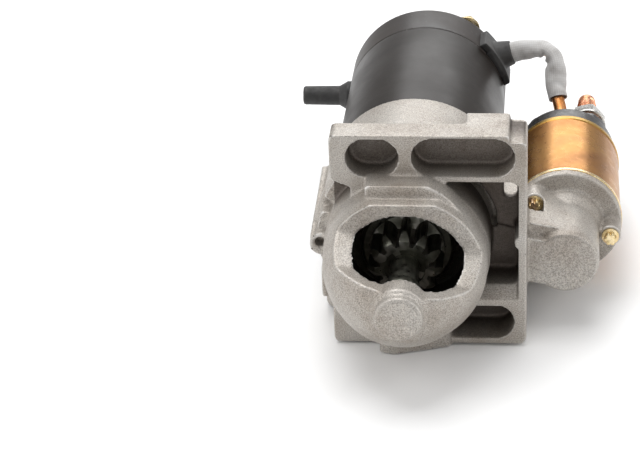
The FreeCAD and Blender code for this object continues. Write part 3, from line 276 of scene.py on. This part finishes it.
def cast_alloy():
    """Bead-blasted die casting: bright grain, brown stains, painted shade in its creases and pockets, and
    chipped edge marks.
    """
    paint = Paint("cast_alloy", (0.40, 0.37, 0.34), metallic=0.55, roughness=0.5)
    grain = paint.noise(2300, 2.0, 0.7)
    pits = paint.noise(850, 3.0, 0.6)
    stain = paint.noise(38, 4.0, 0.6)
    tone = paint.ramp(stain, [(0.25, (0.29, 0.25, 0.21)), (0.5, (0.41, 0.38, 0.345)),
                              (0.8, (0.50, 0.48, 0.45))])
    speck = paint.ramp(grain, [(0.30, (0.50, 0.49, 0.48)), (0.52, (1.0, 1.0, 1.0)),
                               (0.74, (1.45, 1.42, 1.38))])
    shade = paint.mix(1.0, tone, speck, "MULTIPLY")
    worn = paint.mix(paint.edges(0.515, 0.58), shade, (0.66, 0.645, 0.62))
    # Painted shade: concave creases are darkened to near black by pointiness.
    crease_shaded = paint.mix(paint.edges(0.47, 0.40), worn, (0.10, 0.08, 0.065))
    chips = paint.maths("MULTIPLY", paint.ramp(paint.noise(420, 4.0, 0.8), [(0.60, 0.0), (0.66, 1.0)]),
                        paint.edges(0.51, 0.54))
    chipped = paint.mix(chips, crease_shaded, (0.06, 0.05, 0.04))
    # Painted shade: the bracket's pockets are darkened to a deep brown.
    paint.link(paint.mix(painted_pocket_shade(paint), chipped, (0.045, 0.030, 0.022)), "Base Color")
    paint.link(paint.ramp(pits, [(0.3, 0.40), (0.7, 0.62)]), "Roughness")
    coarse = paint.bump(pits, 0.07, 0.7)
    paint.link(paint.bump(grain, 0.04, 1.0, coarse), "Normal")
    return paint.material


def painted_pocket_shade(paint):
    """0 on the bracket's outside, rising with depth in its pockets, where it paints shade over the casting."""
    deep = paint.span(paint.axis("Y"), 0.5 * MM, 15 * MM)
    mask = paint.maths("MULTIPLY", deep, paint.span(paint.axis("Y"), 19.0 * MM, 18.2 * MM))
    for letter, low, high in (("X", -27.0, 43.4), ("Z", -36.5, 48.3)):
        mask = paint.maths("MULTIPLY", mask, paint.span(paint.axis(letter), (low - 0.4) * MM, low * MM))
        mask = paint.maths("MULTIPLY", mask, paint.span(paint.axis(letter), (high + 0.4) * MM, high * MM))
    return paint.maths("MULTIPLY", mask, 0.85)


def black_enamel():
    """Dark brown-black can with fine turning marks around it."""
    paint = Paint("black_enamel", (0.016, 0.012, 0.010), roughness=0.42)
    paint.set("Specular IOR Level", 0.30)
    lines = paint.noise(1.0, 4.0, 0.7, paint.stretched(25, 5200, 25))
    cloud = paint.noise(55, 3.0)
    dust = paint.noise(2400, 1.0, 0.5)
    tone = paint.ramp(lines, [(0.3, (0.004, 0.003, 0.002)), (0.7, (0.017, 0.011, 0.008))])
    specks = paint.ramp(dust, [(0.70, 0.0), (0.76, 0.35)])
    paint.link(paint.mix(specks, tone, (0.10, 0.085, 0.07)), "Base Color")
    paint.link(paint.ramp(cloud, [(0.3, 0.34), (0.7, 0.46)]), "Roughness")
    paint.link(paint.bump(lines, 0.014, 0.9), "Normal")
    return paint.material


def chipped_enamel():
    """Satin black end cap with pale scuffs and chips."""
    paint = Paint("chipped_enamel", (0.022, 0.018, 0.016), roughness=0.40)
    paint.set("Specular IOR Level", 0.32)
    peel = paint.noise(700, 3.0)
    cloud = paint.noise(60, 3.0)
    chips = paint.maths("MULTIPLY", paint.ramp(paint.noise(1100, 3.0, 0.75), [(0.64, 0.0), (0.70, 1.0)]),
                        paint.edges(0.515, 0.56))
    flecks = paint.ramp(paint.noise(1500, 1.0, 0.4), [(0.775, 0.0), (0.80, 0.8)])
    scuff = paint.maths("MAXIMUM", chips, flecks, clamp=True)
    tone = paint.ramp(cloud, [(0.3, (0.014, 0.011, 0.010)), (0.7, (0.030, 0.024, 0.021))])
    paint.link(paint.mix(scuff, tone, (0.55, 0.52, 0.48)), "Base Color")
    paint.link(paint.ramp(cloud, [(0.3, 0.34), (0.7, 0.48)]), "Roughness")
    paint.link(paint.bump(peel, 0.02, 0.5), "Normal")
    return paint.material


def copper_chromate():
    """Bronze solenoid case with an iridescent sheen and a golden rolled band at its rear."""
    paint = Paint("copper_chromate", (0.36, 0.16, 0.04), metallic=0.9, roughness=0.32)
    lines = paint.noise(1.0, 3.0, 0.6, paint.stretched(30, 3000, 30))
    cloud = paint.noise(42, 3.0, 0.5, None, 0.6)
    body = paint.ramp(cloud, [(0.25, (0.26, 0.105, 0.022)), (0.45, (0.38, 0.165, 0.035)),
                              (0.60, (0.44, 0.215, 0.050)), (0.80, (0.32, 0.115, 0.035))])
    gold = paint.ramp(cloud, [(0.3, (0.42, 0.24, 0.05)), (0.7, (0.56, 0.37, 0.10))])
    band = paint.span(paint.axis("Y"), (BAND_FRONT - 0.4) * MM, (BAND_FRONT + 0.4) * MM)
    paint.link(paint.mix(band, body, gold), "Base Color")
    paint.link(paint.ramp(paint.noise(300, 3.0), [(0.3, 0.24), (0.7, 0.36)]), "Roughness")
    paint.link(paint.bump(lines, 0.010, 0.6), "Normal")
    return paint.material


def plated(name, low, mid, high, roughness=0.28, scale=120):
    """Electroplated steel whose tint drifts between three tones."""
    paint = Paint(name, mid, metallic=1.0, roughness=roughness)
    cloud = paint.noise(scale, 3.0, 0.6, None, 0.8)
    fine = paint.noise(1600, 3.0)
    paint.link(paint.ramp(cloud, [(0.28, low), (0.5, mid), (0.72, high)]), "Base Color")
    paint.link(paint.ramp(fine, [(0.3, roughness - 0.06), (0.7, roughness + 0.12)]), "Roughness")
    paint.link(paint.bump(fine, 0.012, 0.5), "Normal")
    return paint.material


def stud_copper():
    """Copper stud with bright thread crests and painted shade in its darker thread roots."""
    paint = Paint("stud_copper", (0.70, 0.34, 0.20), metallic=1.0, roughness=0.27)
    cloud = paint.noise(260, 3.0)
    tone = paint.ramp(cloud, [(0.3, (0.42, 0.15, 0.07)), (0.6, (0.72, 0.36, 0.22)), (0.8, (0.86, 0.52, 0.36))])
    # Painted shade: the concave thread roots are darkened.
    root_shade = paint.edges(0.42, 0.50)
    paint.link(paint.mix(root_shade, (0.20, 0.055, 0.02), tone), "Base Color")
    paint.link(paint.ramp(paint.noise(1500), [(0.3, 0.20), (0.7, 0.38)]), "Roughness")
    paint.link(paint.bump(paint.noise(1400), 0.01, 0.5), "Normal")
    return paint.material


def dark_steel():
    """Oiled, dark gear steel with tool marks and bright worn edges."""
    paint = Paint("dark_steel", (0.16, 0.15, 0.14), metallic=1.0, roughness=0.34)
    cloud = paint.noise(160, 4.0)
    marks = paint.noise(1.0, 3.0, 0.6, paint.stretched(400, 2600, 400))
    tone = paint.ramp(cloud, [(0.3, (0.085, 0.085, 0.07)), (0.6, (0.15, 0.15, 0.125)),
                              (0.8, (0.22, 0.21, 0.185))])
    worn = paint.mix(paint.edges(0.56, 0.68), tone, (0.36, 0.35, 0.32))
    paint.link(worn, "Base Color")
    paint.link(paint.ramp(paint.noise(500), [(0.3, 0.26), (0.7, 0.46)]), "Roughness")
    paint.link(paint.bump(marks, 0.012, 0.6), "Normal")
    return paint.material


def moulded_plastic(name, dark, light, roughness=0.32, speck=(0.4, 0.37, 0.33)):
    """Glass-filled moulded plastic with flow tone, faint grain and a little dust."""
    paint = Paint(name, dark, roughness=roughness, coat=0.2, coat_roughness=0.2)
    cloud = paint.noise(90, 3.0)
    dust = paint.ramp(paint.noise(2200, 1.0, 0.5), [(0.74, 0.0), (0.80, 0.5)])
    tone = paint.ramp(cloud, [(0.3, dark), (0.7, light)])
    paint.link(paint.mix(dust, tone, speck), "Base Color")
    paint.link(paint.ramp(paint.noise(420), [(0.3, roughness - 0.08), (0.7, roughness + 0.12)]), "Roughness")
    paint.link(paint.bump(paint.noise(1300, 2.0), 0.015, 0.5), "Normal")
    return paint.material


def black_rubber():
    """Moulded rubber: matt, slightly dusty, with a soft grain."""
    paint = Paint("black_rubber", (0.012, 0.012, 0.012), roughness=0.62, sheen=0.15)
    cloud = paint.noise(110, 4.0)
    paint.link(paint.ramp(cloud, [(0.3, (0.008, 0.008, 0.008)), (0.75, (0.030, 0.028, 0.027))]), "Base Color")
    paint.link(paint.ramp(paint.noise(600), [(0.3, 0.5), (0.7, 0.75)]), "Roughness")
    paint.link(paint.bump(paint.noise(1500, 3.0), 0.03, 0.6), "Normal")
    return paint.material


def mottled(name, low, high, metallic, roughness, scale, bump_mm, grain_scale):
    """General speckled material for inner pieces: ferrite, bronze, carbon, laminations."""
    paint = Paint(name, low, metallic=metallic, roughness=roughness)
    paint.link(paint.ramp(paint.noise(scale, 4.0), [(0.3, low), (0.7, high)]), "Base Color")
    fine = paint.noise(scale * 3)
    paint.link(paint.ramp(fine, [(0.3, roughness - 0.08), (0.7, roughness + 0.1)]), "Roughness")
    paint.link(paint.bump(paint.noise(grain_scale, 3.0), bump_mm, 0.7), "Normal")
    return paint.material


def banded(name, low, high, pitch_mm, axis_scale, roughness, depth_mm):
    """Wire or laminations: fine bands at a fixed pitch along one axis."""
    paint = Paint(name, high, metallic=1.0, roughness=roughness)
    wave = paint.tree.nodes.new("ShaderNodeTexWave")
    paint.feed(wave, "Vector", paint.stretched(*axis_scale))
    wave.inputs["Scale"].default_value = 1000 / pitch_mm / (2 * math.pi) * 0.314
    wave.inputs["Distortion"].default_value = 0.4
    wave.inputs["Detail"].default_value = 1.0
    wave.bands_direction = "Y"
    paint.link(paint.ramp(wave.outputs["Fac"], [(0.1, low), (0.6, high)]), "Base Color")
    paint.link(paint.ramp(paint.noise(400), [(0.3, roughness - 0.06), (0.7, roughness + 0.1)]), "Roughness")
    paint.link(paint.bump(wave.outputs["Fac"], depth_mm, 0.8), "Normal")
    return paint.material


def woven_cloth():
    """Grey woven glass sleeve: the weave follows the sleeve's own coordinates."""
    paint = Paint("woven_cloth", (0.55, 0.53, 0.50), roughness=0.82, sheen=0.35)
    along = paint.tree.nodes.new("ShaderNodeAttribute")
    along.attribute_name = "sleeve_place"
    place = along.outputs["Vector"]
    first = paint.maths("SINE", paint.axis("X", place))
    second = paint.maths("SINE", paint.axis("Y", place))
    weave = paint.maths("ADD", paint.maths("MULTIPLY", first, 0.5), paint.maths("MULTIPLY", second, 0.5))
    dirt = paint.noise(170, 4.0, 0.6)
    tone = paint.ramp(dirt, [(0.25, (0.34, 0.32, 0.31)), (0.5, (0.50, 0.49, 0.48)), (0.8, (0.60, 0.60, 0.60))])
    thread = paint.ramp(weave, [(0.0, (0.86, 0.855, 0.85)), (0.7, (1.0, 1.0, 1.0))])
    paint.link(paint.mix(1.0, tone, thread, "MULTIPLY"), "Base Color")
    fuzz = paint.bump(paint.noise(2600, 3.0), 0.04, 0.7)
    paint.link(paint.bump(weave, 0.03, 0.35, fuzz), "Normal")
    return paint.material


def copper_braid():
    paint = Paint("copper_braid", (0.72, 0.36, 0.18), metallic=1.0, roughness=0.36)
    strands = paint.noise(2200, 3.0, 0.6)
    tone = paint.ramp(paint.noise(220, 3.0), [(0.3, (0.62, 0.24, 0.07)), (0.7, (0.90, 0.44, 0.20))])
    dark = paint.ramp(strands, [(0.35, (0.45, 0.45, 0.45)), (0.6, (1.0, 1.0, 1.0))])
    paint.link(paint.mix(1.0, tone, dark, "MULTIPLY"), "Base Color")
    paint.link(paint.bump(strands, 0.06, 0.9), "Normal")
    return paint.material


def make_materials():
    zinc = plated("bright_zinc", (0.50, 0.48, 0.44), (0.66, 0.65, 0.62), (0.80, 0.79, 0.77), 0.24)
    yellow = plated("yellow_zinc", (0.62, 0.42, 0.30), (0.74, 0.58, 0.30), (0.84, 0.72, 0.50), 0.24)
    plastic = moulded_plastic("black_plastic", (0.010, 0.009, 0.009), (0.022, 0.020, 0.019))
    return {
        "cast_alloy": cast_alloy(),
        "bronze": mottled("sintered_bronze", (0.38, 0.22, 0.10), (0.62, 0.42, 0.22), 1.0, 0.42, 500, 0.03,
                          2400),
        "zinc_steel": zinc,
        "yellow_zinc": yellow,
        "black_plastic": plastic,
        "black_paint": black_enamel(),
        "end_cap_paint": chipped_enamel(),
        "ferrite": mottled("ferrite", (0.035, 0.035, 0.04), (0.09, 0.09, 0.10), 0.2, 0.62, 300, 0.03, 1800),
        "brass": plated("brass_plate", (0.50, 0.32, 0.12), (0.70, 0.50, 0.22), (0.82, 0.66, 0.38), 0.26),
        "spring_steel": plated("spring_wire", (0.24, 0.24, 0.25), (0.40, 0.40, 0.41), (0.55, 0.55, 0.56),
                               0.26, 300),
        "rubber": black_rubber(),
        "copper_braid": copper_braid(),
        "woven_sleeve": woven_cloth(),
        "copper_plate": copper_chromate(),
        "winding_copper": banded("enamelled_wire", (0.20, 0.05, 0.015), (0.62, 0.24, 0.08), 1.2,
                                 (0.05, 1, 0.05), 0.24, 0.12),
        "copper": stud_copper(),
        "gear_steel": dark_steel(),
        "lamination": banded("laminated_steel", (0.16, 0.16, 0.17), (0.36, 0.36, 0.37), 0.7, (0.02, 1, 0.02),
                             0.34, 0.04),
        "carbon": mottled("carbon_brush", (0.06, 0.045, 0.035), (0.16, 0.10, 0.07), 0.4, 0.5, 900, 0.02, 2600),
    }


# ---------------------------------------------------------------- mesh building

def new_piece(name, vertices, faces, material, body, replaced=()):
    """A mesh piece from points in millimetres."""
    mesh = bpy.data.meshes.new(name)
    mesh.from_pydata([tuple(c * MM for c in v) for v in vertices], [], faces)
    mesh.validate()
    settle(mesh)
    piece = bpy.data.objects.new(name, mesh)
    bpy.context.scene.collection.objects.link(piece)
    return dress(piece, material, body, replaced)


def settle(mesh, angle=35):
    """Outward normals and smooth shading with sharp edges kept."""
    work = bmesh.new()
    work.from_mesh(mesh)
    bmesh.ops.recalc_face_normals(work, faces=work.faces)
    work.to_mesh(mesh)
    work.free()
    mesh.shade_smooth()
    mesh.set_sharp_from_angle(angle=math.radians(angle))


def dress(piece, material, body, replaced=()):
    piece.data.materials.clear()
    piece.data.materials.append(material)
    if replaced:
        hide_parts(*replaced)
    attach(piece, body)
    return piece


def arc_corner(before, corner, after, radius, steps):
    """Points of an arc that rounds one corner of a flat outline."""
    first = Vector(before) - Vector(corner)
    second = Vector(after) - Vector(corner)
    angle = first.angle(second)
    reach = min(radius / math.tan(angle / 2), 0.49 * first.length, 0.49 * second.length)
    start = Vector(corner) + first.normalized() * reach
    end = Vector(corner) + second.normalized() * reach
    points = []
    for i in range(steps + 1):
        t = i / steps
        points.append(tuple(start * (1 - t) ** 2 + Vector(corner) * 2 * t * (1 - t) + end * t ** 2))
    return points


def softened(profile, closed=False, steps=4):
    """A profile of (r, y, rounding) turned into plain points with its corners rounded."""
    points = []
    count = len(profile)
    for i in range(count):
        corner = profile[i][:2]
        radius = profile[i][2] if len(profile[i]) > 2 else 0
        end_point = not closed and i in (0, count - 1)
        if radius == 0 or end_point:
            points.append(tuple(corner))
            continue
        points += arc_corner(profile[i - 1][:2], corner, profile[(i + 1) % count][:2], radius, steps)
    return points


def lathe(profile, centre, segments):
    """Vertices and faces of a closed outline turned about a line along Y."""
    points = softened(profile, True)
    vertices = []
    faces = []
    for i in range(segments):
        angle = 2 * math.pi * i / segments
        for r, y in points:
            vertices.append((centre[0] + r * math.cos(angle), y, centre[1] + r * math.sin(angle)))
    count = len(points)
    for i in range(segments):
        j = (i + 1) % segments
        for k in range(count):
            n = (k + 1) % count
            faces.append((i * count + k, i * count + n, j * count + n, j * count + k))
    return vertices, faces


def merged(mesh, distance=0.0005):
    work = bmesh.new()
    work.from_mesh(mesh)
    bmesh.ops.remove_doubles(work, verts=work.verts, dist=distance * MM)
    bmesh.ops.dissolve_degenerate(work, edges=work.edges, dist=distance * MM)
    work.to_mesh(mesh)
    work.free()


def turned_ring(name, profile, material, replaced, centre=(0.0, 0.0), segments=160):
    """A turned ring of the motor's frame, its section a closed outline of (r, y, rounding)."""
    vertices, faces = lathe(profile, centre, segments)
    piece = new_piece(name, vertices, faces, material, "frame", replaced)
    merged(piece.data)
    settle(piece.data)
    return piece


def copy_of_node(node, name):
    source = frame["nodes"][node]
    mesh = source.data.copy()
    mesh.name = name
    merged(mesh, 0.002)
    piece = bpy.data.objects.new(name, mesh)
    bpy.context.scene.collection.objects.link(piece)
    return piece


def baked(piece):
    """Apply a piece's modifiers to its mesh."""
    graph = bpy.context.evaluated_depsgraph_get()
    mesh = bpy.data.meshes.new_from_object(piece.evaluated_get(graph))
    old = piece.data
    piece.modifiers.clear()
    piece.data = mesh
    bpy.data.meshes.remove(old)


def cast_copy(node, name, material, voxel, rounds, faces_kept=1.0):
    """A node's shape with every edge rounded as a casting's, by remeshing and smoothing it."""
    piece = copy_of_node(node, name)
    remesh = piece.modifiers.new("remesh", "REMESH")
    remesh.mode = "VOXEL"
    remesh.voxel_size = voxel * MM
    smooth = piece.modifiers.new("smooth", "SMOOTH")
    smooth.factor = 0.5
    smooth.iterations = rounds
    if faces_kept < 1.0:
        reduce = piece.modifiers.new("reduce", "DECIMATE")
        reduce.ratio = faces_kept
    baked(piece)
    settle(piece.data, angle=60)
    return dress(piece, material, BODY_OF[node], (node,))


def bevelled_copy(node, name, material, width, segments=2, angle=32):
    """A node's shape with narrow rounded edges."""
    piece = copy_of_node(node, name)
    bevel = piece.modifiers.new("bevel", "BEVEL")
    bevel.width = width * MM
    bevel.segments = segments
    bevel.limit_method = "ANGLE"
    bevel.angle_limit = math.radians(angle)
    bevel.use_clamp_overlap = True
    baked(piece)
    settle(piece.data, angle=40)
    return dress(piece, material, BODY_OF[node], (node,))


# ---------------------------------------------------------------- pieces

def threaded_stud(name, node, centre, radius, pitch, start, tip, material):
    """Stud with a real helical thread, an undercut and a rounded tip."""
    segments = 48
    per_turn = 6
    thread_end = tip - 1.6 * radius
    rows = []
    depth = 0.55 * pitch
    step = pitch / per_turn
    count = int((thread_end - start) / step)
    vertices = []
    faces = []
    for i in range(count + 1):
        rows.append(start + i * step)
    for y in rows:
        for j in range(segments):
            angle = 2 * math.pi * j / segments
            phase = (y / pitch - j / segments) % 1.0
            crest = abs(2 * phase - 1)
            fade = min(1.0, (thread_end - y) / pitch + 0.15, (y - start) / pitch + 0.15)
            r = radius - depth * (1 - min(1.0, crest * 1.25)) * max(0.0, fade)
            vertices.append((centre[0] + r * math.cos(angle), y, centre[1] + r * math.sin(angle)))
    nose = softened([(radius, thread_end), (radius * 0.76, thread_end + 0.25 * radius, 0.2),
                     (radius * 0.76, tip - 1.1 * radius, 0.2), (radius * 0.92, tip - 0.9 * radius, 0.3),
                     (radius * 0.92, tip - 0.45 * radius, 0.8), (radius * 0.45, tip, 0.8), (0.0, tip)])
    for r, y in nose[1:]:
        for j in range(segments):
            angle = 2 * math.pi * j / segments
            vertices.append((centre[0] + r * math.cos(angle), y, centre[1] + r * math.sin(angle)))
    layers = len(rows) + len(nose) - 1
    for i in range(layers - 1):
        for j in range(segments):
            k = (j + 1) % segments
            faces.append((i * segments + j, i * segments + k, (i + 1) * segments + k, (i + 1) * segments + j))
    faces.append(tuple(range(segments)))
    piece = new_piece(name, vertices, faces, material, BODY_OF[node], (node,))
    merged(piece.data)
    settle(piece.data, angle=50)
    return piece


def sampled_route(samples=160):
    """Points, in millimetres, along the lead's own NURBS line."""
    curve = bpy.data.curves.new("route_scratch", "CURVE")
    curve.dimensions = "3D"
    spline = curve.splines.new("NURBS")
    spline.points.add(len(LEAD_ROUTE) - 1)
    for point, place in zip(spline.points, LEAD_ROUTE):
        point.co = (*place, 1.0)
    spline.order_u = 3
    spline.use_endpoint_u = True
    spline.resolution_u = 32
    carrier = bpy.data.objects.new("route_scratch", curve)
    mesh = bpy.data.meshes.new_from_object(carrier)
    points = [v.co.copy() for v in mesh.vertices]
    bpy.data.objects.remove(carrier)
    bpy.data.curves.remove(curve)
    bpy.data.meshes.remove(mesh)
    lengths = [0.0]
    for a, b in zip(points, points[1:]):
        lengths.append(lengths[-1] + (b - a).length)
    even = []
    for i in range(samples + 1):
        target = lengths[-1] * i / samples
        k = next(n for n in range(1, len(lengths)) if lengths[n] >= target - 1e-9)
        t = (target - lengths[k - 1]) / max(1e-9, lengths[k] - lengths[k - 1])
        even.append(points[k - 1].lerp(points[k], t))
    return even, lengths[-1]


def frames_along(points):
    """Tangent and two side directions at each point, without twist."""
    frames = []
    side = Vector((0, 0, 1))
    for i, point in enumerate(points):
        ahead = points[min(i + 1, len(points) - 1)] - points[max(i - 1, 0)]
        ahead.normalize()
        side = (side - ahead * side.dot(ahead)).normalized()
        frames.append((point, ahead, side, ahead.cross(side)))
    return frames


def make_lead(materials):
    """The crumpled sleeve over the braid, round the lead's own line."""
    points, length = sampled_route()
    frames = frames_along(points)
    total = len(points) - 1
    around = 72
    start = int(total * SLEEVE_START_SHARE)
    end = int(total * SLEEVE_END_SHARE)
    vertices = []
    marks = []
    for i in range(start, end + 1):
        place, ahead, side, other = frames[i]
        bend = frames[min(i + 8, total)][1].angle(frames[max(i - 8, 0)][1])
        share = (i - start) / (end - start)
        for j in range(around):
            angle = 2 * math.pi * j / around
            inner = max(0.0, -(math.cos(angle) * side + math.sin(angle) * other).dot(
                (place - (points[max(i - 12, 0)] + points[min(i + 12, total)]) / 2).normalized()))
            radius = SLEEVE_R + 0.45 * math.sin(share * 9.0 + 1.0) * math.cos(2 * angle + 2.1 * share)
            radius += 0.34 * noise.noise(Vector((math.cos(angle) * 1.1, math.sin(angle) * 1.1, i * 0.055)))
            fold = math.sin(i * 0.42 + 1.3 * math.sin(angle * 2))
            radius += (0.30 + 0.85 * inner) * min(1.0, bend * 1.1) * fold * 0.62
            radius -= 0.75 * inner * min(1.0, bend)
            point = place + (math.cos(angle) * side + math.sin(angle) * other) * radius
            vertices.append(tuple(point))
            marks.append((angle * 26, i * length / total * 8.4, 0.0))
    rows = end - start + 1
    faces = []
    for i in range(rows - 1):
        for j in range(around):
            k = (j + 1) % around
            faces.append((i * around + j, i * around + k, (i + 1) * around + k, (i + 1) * around + j))
    cloth = materials["woven_sleeve"]
    sleeve = new_piece("lead_sleeve_cloth", vertices, faces, cloth, "frame", ("lead_sleeve",))
    place_mark = sleeve.data.attributes.new("sleeve_place", "FLOAT_VECTOR", "POINT")
    for item, mark in zip(place_mark.data, marks):
        item.vector = mark
    thick = sleeve.modifiers.new("thickness", "SOLIDIFY")
    thick.thickness = SLEEVE_THICKNESS * MM
    thick.offset = -1.0
    baked(sleeve)
    settle(sleeve.data, angle=70)
    sleeve.data.materials.clear()
    sleeve.data.materials.append(cloth)


def make_can(materials):
    turned_ring("field_can", [
        (CAN_BORE, CAN_FRONT, 0.3), (CAN_R, CAN_FRONT, 0.3), (CAN_R, CAN_REAR - SEAM, 0.35),
        (CAN_BORE, CAN_REAR - SEAM, 0.3)],
        materials["black_paint"], ("field_frame",), segments=192)


def make_solenoid(materials):
    turned_ring("solenoid_can", [
        (CASE_BORE, CASE_FRONT, 0.2), (CASE_R - 0.1, CASE_FRONT, 0.3), (CASE_R, CASE_FRONT + 1.5, 0.3),
        (CASE_R, 97.2, 0.4), (CASE_R + 0.30, 97.9, 0.4), (CASE_R + 0.30, CASE_REAR - 1.0, 0.8),
        (CASE_R - 0.7, CASE_REAR, 0.6), (CASE_BORE, CASE_REAR - 0.2, 0.2)],
        materials["copper_plate"], ("solenoid_case",), SOLENOID)
    turned_ring("solenoid_front_ring", [
        (9.3, 50.5, 0.1), (21.9, 50.5, 0.3), (21.9, 52.4, 0.4), (9.3, 52.4, 0.1)],
        materials["yellow_zinc"], ("solenoid_front_plate",), SOLENOID)
    cast_copy("terminal_cap", "terminal_cap_moulding", materials["black_plastic"], 0.35, 2)


def make_studs(materials):
    angle = math.radians(STUD_ANGLE)
    for node, side in (("motor_stud", 1), ("battery_stud", -1)):
        centre = (SOLENOID[0] + side * STUD_CIRCLE_R * math.cos(angle),
                  SOLENOID[1] + side * STUD_CIRCLE_R * math.sin(angle))
        threaded_stud(node + "_thread", node, centre, STUD_R, STUD_PITCH, THREAD_START, STUD_TIP,
                      materials["copper"])
    threaded_stud("switch_stud_thread", "switch_stud", SWITCH_STUD, SWITCH_STUD_R, SWITCH_STUD_PITCH,
                  SWITCH_THREAD_START, SWITCH_STUD_TIP, materials["zinc_steel"])
    bevelled_copy("terminal_nuts", "terminal_nut_pair", materials["zinc_steel"], 0.25)
    bevelled_copy("switch_nut", "switch_nut_pair", materials["brass"], 0.2)


def make_fasteners(materials):
    bevelled_copy("through_bolts", "through_bolt_pair", materials["yellow_zinc"], 0.22)
    bevelled_copy("brush_plate_screws", "lobed_screw_pair", materials["yellow_zinc"], 0.18)
    bevelled_copy("solenoid_screws", "solenoid_screw_set", materials["yellow_zinc"], 0.25)


def make_castings(materials):
    cast_copy("drive_end_housing", "housing_casting", materials["cast_alloy"], 0.6, 2, 0.55)
    cast_copy("rear_cover", "end_cap_stamping", materials["end_cap_paint"], 0.5, 5)
    cast_copy("lead_grommet", "lead_grommet_moulding", materials["rubber"], 0.4, 5)


def make_drive(materials):
    bevelled_copy("pinion_gear", "pinion_toothed", materials["gear_steel"], 0.22, 2, 28)
    bevelled_copy("output_shaft", "output_shaft_ground", materials["gear_steel"], 0.2)
    bevelled_copy("stop_collar", "stop_collar_ring", materials["gear_steel"], 0.3)


def dress_cad_nodes(materials):
    """The record's own slot gives each node that is still shown its finish."""
    slots = {row["node"]: row["material_slot"] for row in frame["record"]["subparts"]}
    for node, piece in frame["nodes"].items():
        if piece.hide_render:
            continue
        for index in range(max(1, len(piece.material_slots))):
            if not piece.material_slots:
                piece.data.materials.append(materials[slots[node]])
            piece.material_slots[index].material = materials[slots[node]]


# ---------------------------------------------------------------- scene

make_camera()
make_lights()
make_floor()
MATERIALS = make_materials()
make_castings(MATERIALS)
make_can(MATERIALS)
make_solenoid(MATERIALS)
make_studs(MATERIALS)
make_fasteners(MATERIALS)
make_drive(MATERIALS)
make_lead(MATERIALS)
dress_cad_nodes(MATERIALS)
bpy.context.scene.view_settings.view_transform = "Standard"
